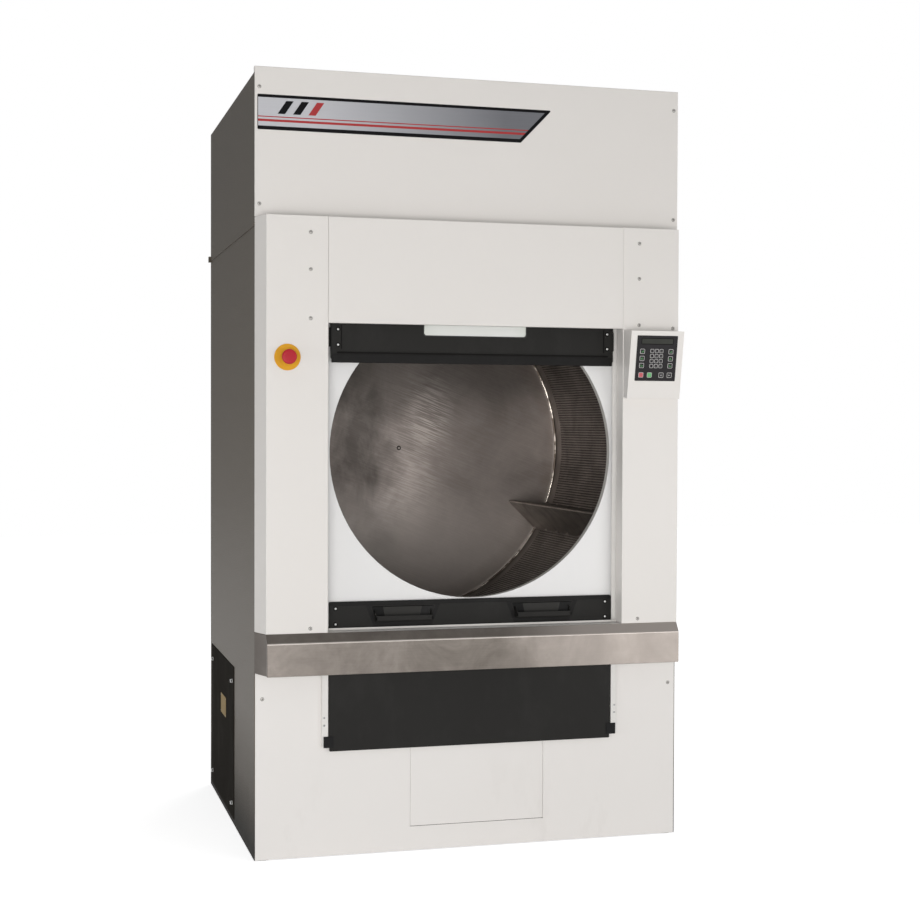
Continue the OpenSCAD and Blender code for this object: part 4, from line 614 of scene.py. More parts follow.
class Piece:  # gathers shapes in millimetres and becomes one object
    def __init__(self, name, look, body="cabinet", place=at):
        self.name = name
        self.body = body
        self.place = place
        self.mesh = bmesh.new()
        self.finishes = []
        self.use(look)

    def use(self, look):  # the finish of what is made from here on
        if look not in self.finishes:
            self.finishes.append(look)
        self.finish = self.finishes.index(look)
        return self

    def ring(self, axis, loop, depth):
        return [self.mesh.verts.new(self.place(*planes[axis](u, v, depth))) for u, v in loop]

    def close(self, corners):
        self.mesh.faces.new(corners).material_index = self.finish

    def join(self, first, second):
        count = max(len(first), len(second))
        for i in range(count):
            j = (i + 1) % count
            near = [first[i], first[j]] if len(first) > 1 else [first[0]]
            far = [second[j], second[i]] if len(second) > 1 else [second[0]]
            if len(near) + len(far) > 2:
                self.close(near + far)

    def skin(self, rings, looped=False):
        for first, second in zip(rings, rings[1:] + rings[:1] if looped else rings[1:]):
            self.join(first, second)
        return self

    def fill(self, loops, rings):  # a flat face, with holes where there is more than one loop
        if len(loops) == 1:
            self.close(rings[0])
            return
        corners = [corner for ring in rings for corner in ring]
        flat = [[Vector((u, v, 0)) for u, v in loop] for loop in loops]
        for triangle in tessellate_polygon(flat):
            self.close([corners[i] for i in triangle])

    def loft(self, axis, stages, holes=(), looped=False):  # stages are (loop, depth), alike in corners
        rings = [self.ring(axis, loop, depth) for loop, depth in stages]
        self.skin(rings, looped)
        if looped:
            return self
        mouths = []
        for end in (0, -1):
            loop, depth = stages[end]
            mouths.append([self.ring(axis, hole, depth) for hole in holes])
            self.fill([loop, *holes], [rings[end], *mouths[-1]])
        for first, second in zip(*mouths):
            self.join(first, second)
        return self

    def prism(self, axis, loop, low, high):
        return self.loft(axis, [(loop, low), (loop, high)])

    def plate(self, axis, corners, radii, profile, steps=4, looped=False):  # profile is (drawn in, depth)
        return self.loft(axis, [(rim(corners, radii, i, steps), y) for i, y in profile], looped=looped)

    def block(self, low, high):
        return self.prism("z", rectangle(low[0], low[1], high[0], high[1]), low[2], high[2])

    def bar(self, side, xs, ys, zs):  # a block on one side, or its mirror image
        left, right = sorted((side * xs[0], side * xs[1]))
        return self.block((left, ys[0], zs[0]), (right, ys[1], zs[1]))

    def lathe(self, axis, centre, profile, count=48, looped=False):  # profile is (radius, depth)
        rings = [self.ring(axis, circle(centre, radius, count) if radius > 0 else [centre], depth)
                 for radius, depth in profile]
        self.skin(rings, looped)
        for ring in () if looped else (rings[0], rings[-1]):
            if len(ring) > 2:
                self.close(ring)
        return self

    def turned(self, axis, centre, face, stages):  # round shapes that share one centre on one face
        for look, count, profile in stages:
            self.use(look).lathe(axis, centre, [(radius, face + out) for radius, out in profile], count)

    def make(self, bevel=0.0, crease=32, steps=2, wall=0.0, instead=()):
        bmesh.ops.recalc_face_normals(self.mesh, faces=self.mesh.faces[:])
        data = bpy.data.meshes.new(self.name)
        self.mesh.to_mesh(data)
        self.mesh.free()
        for key in self.finishes:
            data.materials.append(looks[key])
        data.shade_smooth()
        data.set_sharp_from_angle(angle=math.radians(crease))
        thing = bpy.data.objects.new(self.name, data)
        scene.collection.objects.link(thing)
        if bevel:
            roundEdges(thing, bevel, steps)
        if wall:
            sheet = thing.modifiers.new("sheetThickness", "SOLIDIFY")
            sheet.thickness = wall / 1000
            sheet.offset = -1
        flat = thing.modifiers.new("flatFaces", "WEIGHTED_NORMAL")
        flat.keep_sharp = True
        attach(thing, self.body)
        if instead:
            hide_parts(*instead)


# Folded sheets of the front housing
column = {"inner": 464, "corner": 648, "side": 672.5, "front": -70, "slot": -16, "low": 686.3, "high": 1916,
          "sheet": 1.5, "bend": 2, "play": 1.6}


def makeColumns():
    c = column
    front, inner, corner, side = c["front"], c["inner"], c["corner"], c["side"]
    near, behind, roof = inner + c["play"], front + c["play"], c["high"] - c["sheet"]
    for name, s in zip(("left", "right"), sides):
        line = [(s * inner, c["slot"]), (s * inner, front), (s * corner, front), (s * side, 0)]
        top = [(s * near, -0.3), (s * near, behind), (s * (corner - 1.2), behind), (s * (side - 2), -0.3)]
        piece = Piece(name + "Column", "white")
        piece.prism("z", folded(line[::s], c["sheet"], c["bend"]), c["low"], c["high"])
        piece.prism("z", top[::s], roof, c["high"] - 0.1)
        piece.make(0.5, instead=[name + "_column_cover"])


header = {"x": 463.7, "front": -70, "low": 1603, "high": 1916, "lip": 20, "sheet": 1.5, "bend": 2}
topPanel = {"x": 672.5, "low": 1917, "high": 2360, "lip": 20, "sheet": 2, "bend": 2.5, "roof": 2343.3}


def makeHeader():
    h, t = header, header["sheet"]
    front, low, high, lip = h["front"], h["low"], h["high"], h["front"] + h["lip"]
    piece = Piece("headerPanel", "white")
    line = [(0, high), (front, high), (front, low), (lip, low)]
    piece.prism("x", folded(line, t, h["bend"]), -h["x"], h["x"])
    for s in sides:
        piece.bar(s, (h["x"] - t, h["x"]), (front + t + 1, lip), (low + t + 1, high - t - 1))
    piece.make(0.4, instead=["upper_front_panel"])


def makeTopPanel():
    p, t = topPanel, topPanel["sheet"]
    piece = Piece("topPanel", "white")
    line = [(p["lip"], p["high"]), (0, p["high"]), (0, p["low"])]
    piece.prism("x", folded(line, t, p["bend"]), -p["x"], p["x"])
    for s in sides:
        piece.bar(s, (p["x"] - t, p["x"]), (t, p["lip"]), (p["roof"], p["high"] - t))
    piece.make(0.4, instead=["top_front_panel"])


sillShape = {"side": 672.5, "corner": 648, "housing": -70, "front": -90, "low": 562.5, "edge": 659,
             "top": 686, "notch": 479.5, "notchBack": -18, "slots": (494, 586), "slotY": (-50, -5),
             "sheet": 2, "nose": 2.4, "lip": 6.5}


def makeSill():
    q = sillShape
    side, corner, notch, front, nose = q["side"], q["corner"], q["notch"], q["front"], q["nose"]
    piece = Piece("sillSheet", "white")
    plan = [(-side, 0), (-corner, q["housing"]), (corner, q["housing"]), (side, 0), (notch, 0),
            (notch, q["notchBack"]), (-notch, q["notchBack"]), (-notch, 0)]
    slots = []
    for s in sides:
        left, right = sorted(s * x for x in q["slots"])
        slots.append(rectangle(left, q["slotY"][0], right, q["slotY"][1]))
    upper = piece.ring("z", plan, q["top"])
    piece.fill([plan, *slots], [upper, *(piece.ring("z", slot, q["top"]) for slot in slots)])
    under = plan[:2] + [(-corner, front), (corner, front)] + plan[2:]
    lower = piece.ring("z", under, q["low"])
    piece.use("sill").close(lower[::-1])
    edge = [(front, q["edge"] - nose), (front + nose * 0.6, q["edge"] + nose * 0.8)]
    left = [lower[2], *piece.ring("x", edge, -corner)]
    right = [lower[3], *piece.ring("x", edge, corner)]
    piece.close([left[0], right[0], right[1], left[1]])
    # painted highlight on the nose strip, painted reflection on the slope, painted shade on the left end
    piece.use("sillNoseHighlight").close([left[1], right[1], right[2], left[2]])
    piece.use("sillSlopeReflection").close([left[2], right[2], upper[2], upper[1]])
    piece.use("sillEndShaded").close([lower[1], left[0], left[1], left[2], upper[1]])
    piece.close([right[0], lower[4], upper[2], right[2], right[1]])
    piece.close([lower[0], lower[1], upper[1], upper[0]])
    piece.close([lower[4], lower[5], upper[3], upper[2]])
    piece.make(1.6, steps=3, wall=q["sheet"], instead=["sill"])

    piece = Piece("sillLip", "white")  # narrow white fold at the doors' foot
    back, top = q["notchBack"] - 0.4, q["top"]
    line = [(back, top + q["lip"]), (back - 1.6, top + q["lip"]), (back - 1.6, top), (back - 9, top)]
    piece.prism("x", folded(line, 0.9, 1.0), 1 - notch, notch - 1)
    piece.make()


lintCover = {"left": -194.75, "low": 77, "right": 230.75, "high": 515, "flange": 15, "clip": 40}


def makeLintCover():
    left, low, right, high = (lintCover[k] for k in ("left", "low", "right", "high"))
    piece = Piece("lintDoor", "low")
    piece.plate("y", rectangle(left, low, right, high), 4, [(1.6, 0), (0.5, 0.45), (0, 1.4), (0, 2.3)])
    wide = lintCover["flange"]
    piece.block((left - wide, 2.4, low), (right + wide, 4.3, high + wide))
    for x in (left + lintCover["clip"], right - lintCover["clip"]):  # spring clips behind the lip
        piece.use("zinc").block((x - 12, 4.3, high - 30), (x + 12, 5.8, high + 8))
    piece.make(instead=["lint_cover"])


makeColumns()
makeHeader()
makeTopPanel()
makeSill()
makeLintCover()
print("housing sheets ready")


# Doors: trays with folded edges. Bolts and screws are lists of (look, corners, (radius, out) pairs).
def trayStages(d):
    x, low, high, front, back, sheet = (d[k] for k in ("x", "low", "high", "front", "back", "sheet"))
    corners = [(3 - x, low), (x - 3, low), (x - 3, low + 11), (x, low + 14), (x, high), (-x, high),
               (-x, low + 14), (3 - x, low + 11)]
    radii = [2, 2, 1, 1, 6, 6, 1, 1]
    profile = [(1.6, front), (0.5, front + 0.4), (0, front + 1.5), (0, back - 1.2), (0.4, back - 0.3),
               (1.2, back), (d["rim"], back), (d["rim"], back - sheet), (sheet, back - sheet),
               (sheet, front + sheet)]
    return [(rim(corners, radii, distance), depth) for distance, depth in profile]


lowerDoor = {"x": 450, "low": 320, "high": 770, "front": -12, "back": -2, "sheet": 1.5, "rim": 12,
             "hem": [(1.2, -12.9), (0.3, -12.6), (0, -12.0)], "boltX": 430, "boltZ": (703, 750),
             # the recess rings are painted shade round each bolt and in its socket
             "bolt": [("recess", 24, [(0, -0.5), (6.2, -0.5), (6.6, 0)]),
                      ("stud", 20, [(0, -2), (2.2, -2), (3.0, -1.4), (3.2, -0.6), (3.2, -0.4)]),
                      ("recess", 6, [(0, -2.05), (1.2, -2.05), (1.2, -1.6)])]}
handle = {"x": 222, "z": 708, "top": 100, "foot": 81, "height": 47, "panel": (52, 16, 44), "flare": 6,
          "panelY": -4.8, "grip": 88, "gripFront": -37, "gripHigh": 19, "sheet": 3.6, "bend": 5, "cheek": 1.5,
          # the first profile is a thin dark flange round each pocket, a painted shadow
          "shadowFlange": [(14, -12.02), (13, -12.35), (2.4, -12.5), (2.4, -12.02)],
          "pocket": [(5, -2.2, -12.05), (5, -1.8, -12.7), (3, 0.8, -12.7), (3, 2.0, -11.6)]}


def gripOutline(s):  # outline of one handle's pocket
    h = handle
    x, z, high = s * h["x"], h["z"], h["z"] + h["height"]
    return [(x - h["foot"], z), (x + h["foot"], z), (x + h["top"], high), (x - h["top"], high)]


def makeLowerDoor():
    d = lowerDoor
    piece = Piece("lowerDoorTray", "door", "lower_door")
    piece.loft("y", trayStages(d), [drawn(gripOutline(s), 3, 0.4) for s in sides])
    hem = rectangle(1 - d["x"], d["high"] - 12, d["x"] - 1, d["high"] - 1)
    piece.use("darkHemAndShadow").plate("y", hem, 3, d["hem"])
    for s in sides:  # bolts that hold the arms to the belts
        for z in d["boltZ"]:
            piece.turned("y", (s * d["boltX"], z), d["front"], d["bolt"])
    piece.make(instead=["lower_door"])


def makeGrips():
    h = handle
    wide, low, high = h["panel"]
    flare, half = wide + h["flare"], h["cheek"]
    piece = Piece("gripHandles", "door", "lower_door")
    for s in sides:
        x, z, outer = s * h["x"], h["z"], gripOutline(s)
        panel = [(x - wide, z + low), (x + wide, z + low), (x + flare, z + high), (x - flare, z + high)]
        # painted shadow: a thin dark flange round each pocket
        piece.use("darkHemAndShadow").loft("y", [(drawn(outer, 9, -out), y) for out, y in h["shadowFlange"]], looped=True)
        rings = [piece.ring("y", drawn(outer, radius, distance), y) for radius, distance, y in h["pocket"]]
        rings.append(piece.ring("y", drawn(panel, 5, -3), h["panelY"] - 0.6))
        piece.use("door").skin(rings[:3])
        # the pocket's walls in painted shade, its back panel painted lighter
        piece.use("pocket").skin(rings[2:])
        inner = piece.ring("y", filleted(panel, 4), h["panelY"])
        piece.use("handlePanelLit").skin([rings[-1], inner]).close(inner)
        back = [piece.ring("y", drawn(outer, 3, 0.8), -12.2), piece.ring("y", drawn(outer, 3, 3.4), -10.0),
                piece.ring("y", drawn(panel, 5, -4), -4.2)]
        piece.use("door").skin(back).close(back[-1])
        piece.join(rings[0], back[0])
        foot, tall, front = z + 1, z + h["gripHigh"], h["gripFront"]
        section = folded([(front, tall), (front, foot), (-12, foot)], h["sheet"], h["bend"], 5)
        piece.prism("x", section, x - h["grip"], x + h["grip"])
        cheek = [(-12, foot), (-12, z + 38), (-20, z + 30), (-33, tall - 0.6), (front, tall - 2),
                 (front, foot + 3), (-33, foot)]
        for e in sides:  # cheeks at the ends of the grip
            edge = x + e * (h["grip"] - 1.6)
            piece.prism("x", filleted(cheek, [0, 2, 12, 2, 1.5, 3, 3], 3)[::-1], edge - half, edge + half)
    piece.make(0.6, instead=["door_handles"])


lowerArms = {"plate": ((431, 506), (-5.5, -2.5), (695, 765)), "belt": 500, "clamp": ((-24.5, -5), (701, 759)),
             "bolts": [(-15, 712), (-15, 748)], "bolt": [(3, 506), (3, 508.6), (0, 508.6)]}


def clampPlates(piece, side, arms):  # two plates that hold a belt between them
    for e in sides:
        piece.bar(side, (arms["belt"] + e * 2.3, arms["belt"] + e * 6), *arms["clamp"])


def makeLowerArms():
    piece = Piece("lowerDoorArms", "zinc", "lower_door")
    for s in sides:
        piece.bar(s, *lowerArms["plate"])
        clampPlates(piece, s, lowerArms)
        for spot in lowerArms["bolts"]:  # across the clamp
            piece.lathe("x", spot, [(radius, s * x) for radius, x in lowerArms["bolt"]], 6)
    piece.make(0.5, instead=["lower_door_brackets"])


upperDoor = {"x": 448, "low": 1488, "high": 1912, "front": -26, "back": -16, "sheet": 1.5, "rim": 12,
             "window": (-164, 1571, 164, 1821), "corner": 8, "hemTop": 1514, "ridgeX": 430,
             "rib": (414.5, 418), "ribTop": 1600}


def makeUpperDoor():
    d = upperDoor
    front, top = d["front"], d["hemTop"]
    piece = Piece("upperDoorTray", "door", "upper_door")
    piece.loft("y", trayStages(d), [filleted(rectangle(*d["window"]), d["corner"], 5)])
    hem, half = d["x"] - 4.5, d["ridgeX"]
    strips = [("darkHemAndShadow", (-hem, d["low"] + 0.8, hem, top), 1.5, [(1.4, 1.2), (0.4, 0.9), (0, 0.2), (0, 0)]),
              # the middle strip is painted shade in the groove over the hem
              ("recess", (-half, top + 1, half, top + 6.5), 1, [(0.4, 0.15), (0, 0)]),
              ("door", (-half, top + 6.5, half, top + 9), 1, [(0.9, 0.9), (0.3, 0.7), (0, 0)])]
    for look, box, radius, profile in strips:
        piece.use(look).plate("y", rectangle(*box), radius, [(i, front - out) for i, out in profile])
    for s in sides:
        # thin dark bars: painted shade at the inner edges of the end strips
        piece.use("recess").bar(s, d["rib"], (front - 0.15, front), (top + 14, d["ribTop"]))
    piece.make(instead=["upper_door"])


seal = {"front": [(-0.4, -26.1), (-0.2, -26.9), (1.4, -26.9), (2.6, -25.8), (2.6, -24.6), (-0.4, -24.6)],
        "back": [(0, -20.5), (0, -17), (1, -16.1), (9, -16.1), (10.5, -17.5), (10.5, -20.5)], "backOut": 11,
        "backCorner": 4}


def makeWindowSeal():
    left, low, right, high = upperDoor["window"]
    piece = Piece("windowSeal", "rubber", "upper_door")
    for grow, radius, profile in ((0, upperDoor["corner"], seal["front"]),
                                  (seal["backOut"], seal["backCorner"], seal["back"])):
        corners = rectangle(left - grow, low - grow, right + grow, high + grow)
        piece.loft("y", [(drawn(corners, radius, i, 5), y) for i, y in profile], looped=True)
    piece.make(instead=["window_gasket"])


upperArms = {"strip": (418, 1533, 448, 1597), "thick": 2.5, "flange": ((438, 451), (-16, -2.5), (1638, 1702)),
             "plate": ((438, 572), (-5.5, -2.5), (1638, 1702)), "belt": 566,
             "clamp": ((-41.5, -5), (1644, 1696)), "boltX": 427, "boltZ": (1541, 1587),
             # the recess rings are painted shade round each bolt and in its socket
             "bolt": [("recess", 28, [(0, -0.5), (6.4, -0.5), (7, 0)]),
                      ("stud", 24, [(0, -2), (2.0, -1.9), (3.0, -1.3), (3.3, -0.5)]),
                      ("recess", 6, [(0, -2.05), (1.2, -2), (1.2, -1.5)])]}


def makeUpperArms():
    a, door = upperArms, upperDoor["front"]
    inner, low, outer, high = a["strip"]
    face = door - a["thick"]
    piece = Piece("upperDoorArms", "door", "upper_door")
    for s in sides:
        left, right = sorted((s * inner, s * outer))
        strip = [(1.0, face), (0.3, face + 0.3), (0, face + 1), (0, door)]
        piece.use("door").plate("y", rectangle(left, low, right, high), 2, strip)
        piece.use("zinc").bar(s, *a["flange"])
        piece.bar(s, *a["plate"])
        clampPlates(piece, s, a)
        for z in a["boltZ"]:
            piece.turned("y", (s * a["boltX"], z), face, a["bolt"])
    piece.make(0.4, instead=["upper_door_brackets"])


# Screws, latches and other small fittings
screws = {"housing": -70, "corner": (630, 1607), "low": [(-649, 484.5), (649, 484.5)],
          "top": [(-658.5, 2300), (658.5, 2300), (-658.5, 1955), (658.5, 1955)],
          "column": [(517, 1868), (517, 1759), (517, 1615), (517, 700)],
          # a thin dark ring under each head is a painted shadow
          "head": [("recess", 24, [(0, -0.05), (5.6, -0.05), (5.6, 0)]),
                   ("screw", 24, [(5, 0), (5, -0.625), (4.3, -1.8), (2.5, -2.5), (0, -2.5)])],
          "cross": [(2.3, 0.5), (0.5, 2.3)], "crossY": (-2.53, -2.1),
          "trackX": 463.5, "trackZ": [399, 422, 620, 1736, 1816, 1886],
          "trackHead": [("zinc", 20, [(0, -10.5), (1.0, -10.5), (3.3, -10.8), (3.6, -10.5), (2.2, -8.9),
                                      (2.0, 6)]),
                        # dark centre: painted shade in the head's socket
                        ("recess", 6, [(0, -10.62), (1.4, -10.62), (1.4, -10.3)])]}


def slotCut(piece, axis, spot, half, thin, low, high):  # dark bar across a screw's or a latch's head, painted shade of its slot
    u, v = spot
    piece.use("recess").prism(axis, rectangle(u - half, v - thin, u + half, v + thin), low, high)


def makeScrews():
    s = screws
    low, high = s["crossY"]
    spots = [(x, z, 0) for x, z in s["top"] + s["low"]]
    spots += [(side * x, z, s["housing"]) for x, z in s["column"] for side in sides]
    spots.append((*s["corner"], s["housing"]))
    piece = Piece("panelFasteners", "zinc")
    for x, z, face in spots:
        piece.turned("y", (x, z), face, s["head"])
        for half, thin in s["cross"]:
            slotCut(piece, "y", (x, z), half, thin, face + low, face + high)
    for side in sides:
        for z in s["trackZ"]:
            piece.turned("y", (side * s["trackX"], z), 0, s["trackHead"])
    piece.make(instead=["panel_screws"])


latch = {"y": (485, 1003), "z": (68, 467), "face": -674.5, "slot": (4, 0.6), "slotX": (-7.02, -6.4),
         "head": [("stud", 28, [(7, 0), (7, -0.9), (6.2, -1.5), (3.8, -1.5)]),
                  # dark neck: painted shade under the cap
                  ("recess", 20, [(3.5, -1.5), (3.5, -5)]),
                  ("stud", 28, [(3.4, -4.7), (5.2, -4.7), (6, -5.3), (6, -6), (5.2, -6.75), (3, -7),
                                (0, -7)])]}


def makeLatches():
    face, (low, high) = latch["face"], latch["slotX"]
    piece = Piece("panelStuds", "stud")
    for y in latch["y"]:
        for z in latch["z"]:
            piece.turned("x", (y, z), face, latch["head"])
            slotCut(piece, "x", (y, z), *latch["slot"], face + low, face + high)
    piece.make(instead=["panel_latches"])


access = {"sheet": (445, 20, 1045, 517), "plate": (645, 318, 775, 384), "face": -674.5, "rivetIn": 6,
          "rivet": [("zinc", 16, [(2, -0.3), (1.6, -0.9), (0, -1.1)])]}


def makeAccessPanel():
    face, d = access["face"], access["rivetIn"]
    left, low, right, high = access["plate"]
    piece = Piece("sideAccessSheet", "black")
    piece.plate("x", rectangle(*access["sheet"]), 3,
                [(1.6, face), (0.5, face + 0.4), (0, face + 1.3), (0, face + 2)])
    piece.use("foil")  # blank plate, its print left off
    piece.plate("x", rectangle(left, low, right, high), 4,
                [(0.3, face - 0.4), (0, face - 0.1), (0, face + 0.4)])
    for y in (left + d, right - d):
        for z in (low + d, high - d):
            piece.turned("x", (y, z), face, access["rivet"])
    piece.make(instead=["side_access_panel"])


# Keypad on the leaning face of its box. Places are (across, up) from its lower left corner.
keypad = {"x": 486.5, "y": -138, "z": 1594, "lean": math.atan2(38, 208), "drop": 155.5, "wide": 133,
          "high": 141, "thick": 1.5, "line": 1.1, "display": (15, 115.5, 118, 131.5), "mark": (0.6, 0.85),
          "half": (7.6, 6.0, 7.8), "corner": 2.4, "bar": (1.5, 2.5, 3.4, 3.2), "dot": (0.55, 1.7),
          "arrow": 3.6,
          "side": [(u, v) for u in (19, 113) for v in (92, 70, 48)],
          "digits": [(51 + 15.2 * i, 93.5 - 15.6 * j) for j in range(4) for i in range(3)],
          "foot": [(19, 18.6, "keyRed"), (47, 18.6, "keyGreen"), (85.6, 18.6, "keypadFilm"),
                   (113, 18.6, "keypadFilm")]}


def onKeypad(u, out, v):  # across, out of the face, up
    k = keypad
    y, z = -k["thick"] - out, v - k["drop"]
    return at(k["x"] + u, k["y"] + y * math.cos(k["lean"]) - z * math.sin(k["lean"]),
              k["z"] + y * math.sin(k["lean"]) + z * math.cos(k["lean"]))


def lid(base, top, edge):  # profile of a plate with a soft upper edge
    return [(0, base), (0, top - edge * 0.6), (edge, top)]


def keypadMarks():  # bars, dots and triangles in place of signs, digits and arrows
    k, marks = keypad, []
    wide, pitch, across, below = k["bar"]
    radius, gap = k["dot"]
    for n, (u, v) in enumerate(k["side"]):
        for i in range(3):
            left, foot, tall = u - across + pitch * i, v - below, 1.8 + 2.2 * ((i + n) % 3)
            marks.append(("keyMark", rectangle(left, foot, left + wide, foot + tall)))
    for n, (u, v) in enumerate(k["digits"]):
        marks += [("keyWhite", circle((u + gap * (i - 1), v), radius, 10)) for i in range(1 + n % 3)]
    for (u, v, _), turn in zip(k["foot"][2:], (90, 0)):
        points = [math.radians(turn + a) for a in (0, 140, 220)]
        arrow = [(u + k["arrow"] * math.cos(t), v + k["arrow"] * math.sin(t)) for t in points]
        marks.append(("keyWhite", arrow))
    return marks


def makeKeypad():
    k, line = keypad, keypad["line"]
    left, low, right, high = k["display"]
    piece = Piece("keypadPlate", "keypadFilm", place=onKeypad)
    piece.plate("y", rectangle(0, 0, k["wide"], k["high"]), 2, lid(-k["thick"], 0, 0.4), 3)
    border = rectangle(left - 2, low - 2, right + 2, high + 2)
    piece.use("recess").plate("y", border, 3, [(0, 0), (0.2, 0.25), (2.2, 0.25), (2.4, 0)], 3, looped=True)
    piece.use("display").plate("y", rectangle(left, low, right, high), 1, lid(0, 0.15, 0.25), 3)
    side, digit, foot = k["half"]
    keys = [(u, v, "keypadFilm", side) for u, v in k["side"]]
    keys += [(u, v, "keypadFilm", digit) for u, v in k["digits"]]
    keys += [(u, v, look, foot) for u, v, look in k["foot"]]
    outline = [(0, 0), (0, 0.45), (line, 0.55), (line, 0.3)]
    dome = [(line, 0.3), (line + 0.3, 0.62), (line + 1, 0.7)]
    for u, v, look, half in keys:
        square = rectangle(u - half, v - half, u + half, v + half)
        piece.use("keyLine").plate("y", square, k["corner"], outline, 3, looped=True)
        piece.use(look).plate("y", square, k["corner"], dome, 3)
    for look, loop in keypadMarks():
        piece.use(look).prism("y", loop, *k["mark"])
    piece.make(instead=["keypad"])


# Emergency stop. Depths of the plate count from its wall, those of the head from its front.
stop = {"x": -586, "z": 1500, "wall": -70, "front": -110,
        "plate": [(0, 0), (38.95, 0), (39.25, -1), (38.25, -2.2), (36.85, -2.5), (35.85, -2.2), (29, -2.2),
                  (28.2, -2.6), (27.2, -2.6), (26.4, -2.2), (16.5, -2.2), (16, -3), (16, -2), (0, -2)],
        "collar": [(15.8, -2.1), (15.8, -8.6), (15, -9.8), (11.6, -10), (5.4, -10), (5.4, -2.1)],
        "nut": [(0, 11.5), (11, 11.5), (11, 1)], "block": (15, 20), "blockY": (1.8, 23.5),
        "clamp": [("zinc", 16, [(3, 23.4), (3, 24.6), (0, 24.6)])], "clampAt": [(6, -14), (6, 14)],
        "head": [(5.1, 24.6), (10, 24.6), (11, 24), (11, 10.4), (14, 9.6), (20, 8.2), (22, 5.6), (22, 3.4),
                 (21.2, 1.9), (19.4, 0.8), (17, 0.35), (8, 0), (0, 0)],
        "arrow": (9.6, 11.4), "tip": (8.4, 10.5, 12.6), "tipTurn": 16, "proud": (-0.4, 0.8)}


def makeStopPlate():
    x, z, wall = stop["x"], stop["z"], stop["wall"]
    piece = Piece("stopPlate", "yellow")
    piece.turned("y", (x, z), wall, [("yellow", 72, stop["plate"])])
    piece.use("nylon").lathe("y", (x, z), [(r, wall + y) for r, y in stop["collar"]], 48, looped=True)
    piece.turned("y", (x, z), wall, [("nylon", 32, stop["nut"])])
    half, tall = stop["block"]
    near, far = stop["blockY"]
    piece.block((x - half, wall + near, z - tall), (x + half, wall + far, z + tall))
    for across, up in stop["clampAt"]:  # clamp screws of the contact block
        piece.turned("y", (x + across, z + up), wall, stop["clamp"])
    piece.make(0.3, instead=["stop_base"])


def makeStopHead():
    x, z, front = stop["x"], stop["z"], stop["front"]

    def around(radius, turn):
        return (x + radius * math.cos(turn), z + radius * math.sin(turn))

    piece = Piece("stopHead", "red", "stop_head")
    piece.turned("y", (x, z), front, [("red", 64, stop["head"])])
    inner, outer = stop["arrow"]
    low, middle, high = stop["tip"]
    for start in (30, 150, 270):  # raised arrows that show which way to twist
        arc = [math.radians(start + a) for a in range(0, 61, 10)]
        shaft = [around(inner, t) for t in arc] + [around(outer, t) for t in arc[::-1]]
        point = around(middle, arc[0] - math.radians(stop["tipTurn"]))
        for loop in (shaft, [around(low, arc[0]), point, around(high, arc[0])]):
            piece.prism("y", loop, *(front + y for y in stop["proud"]))
    piece.make(instead=["stop_button"])


trim = {"left": -664.5, "right": 150.5, "low": 2174, "high": 2278, "slant": 100, "edge": 2, "end": 14,
        "strips": [("trimSilver", 11, 95, -0.62), ("trimRed", 24, 31, -0.72), ("trimRed", 37, 40, -0.72)],
        "bars": ["trimBlack", "trimBlack", "trimRed"], "barX": 60, "barPitch": 46, "barWide": 22,
        "barLean": 26, "barZ": (48, 87)}


def makeTrim():
    t = trim
    left, right, low, high = t["left"], t["right"], t["low"], t["high"]

    def band(foot, top, start, end):  # its right end leans as the trim's does
        lean = t["slant"] / (high - low)
        ends = [(end + (z - low) * lean, z) for z in (foot, top)]
        return [(start, foot), *ends, (start, top)]

    piece = Piece("trimPlate", "trimBlack")
    edge = band(low, high, left, right)
    piece.loft("y", [(drawn(edge, 3, i), y) for i, y in ((0, 0), (0, -0.35), (0.4, -0.5))])
    for look, foot, top, front in t["strips"]:
        strip = band(low + foot, low + top, left + t["edge"], right - t["end"])
        piece.use(look).prism("y", strip, front, front + 0.22)
    wide, lean = t["barWide"], t["barLean"]
    foot, top = (low + z for z in t["barZ"])
    for i, look in enumerate(t["bars"]):  # plain slanted bars
        x = left + t["barX"] + t["barPitch"] * i
        bar = [(x, foot), (x + wide, foot), (x + lean + wide, top), (x + lean, top)]
        piece.use(look).prism("y", bar, -0.75, -0.5)
    piece.make(instead=["trim_band"])


makeLowerDoor()
makeGrips()
makeLowerArms()
makeUpperDoor()
makeWindowSeal()
makeUpperArms()
makeScrews()
makeLatches()
makeAccessPanel()
makeKeypad()
makeStopPlate()
makeStopHead()
makeTrim()
print("front pieces ready")


# Drum: back, weld, lifters, mouth and rim
hub = (0, axisZ)
drumBack = {"front": 985, "back": 988, "radius": 606, "hub": 180, "hubY": 1002, "boss": 65, "bossY": 1012,
            "bore": 35.05, "ribs": 8, "rib": [(176, -4), (584, -2.4), (584, 2.4), (176, 4)],
            # dark ring: painted shade round the centre bolt
            "bolt": [("recess", 32, [(8, 0.1), (8, -0.6), (7, -1), (5, -1)]),
                     ("lifter", 6, [(5.4, 0.1), (5.4, -3.4), (4.6, -4.2), (0, -4.2)])]}


def aroundDrum(turn, outline):  # from (out, across) of one direction to places round the drum's axis
    along, across = math.cos(turn), math.sin(turn)
    return [(u * along - v * across, axisZ + u * across + v * along) for u, v in outline]


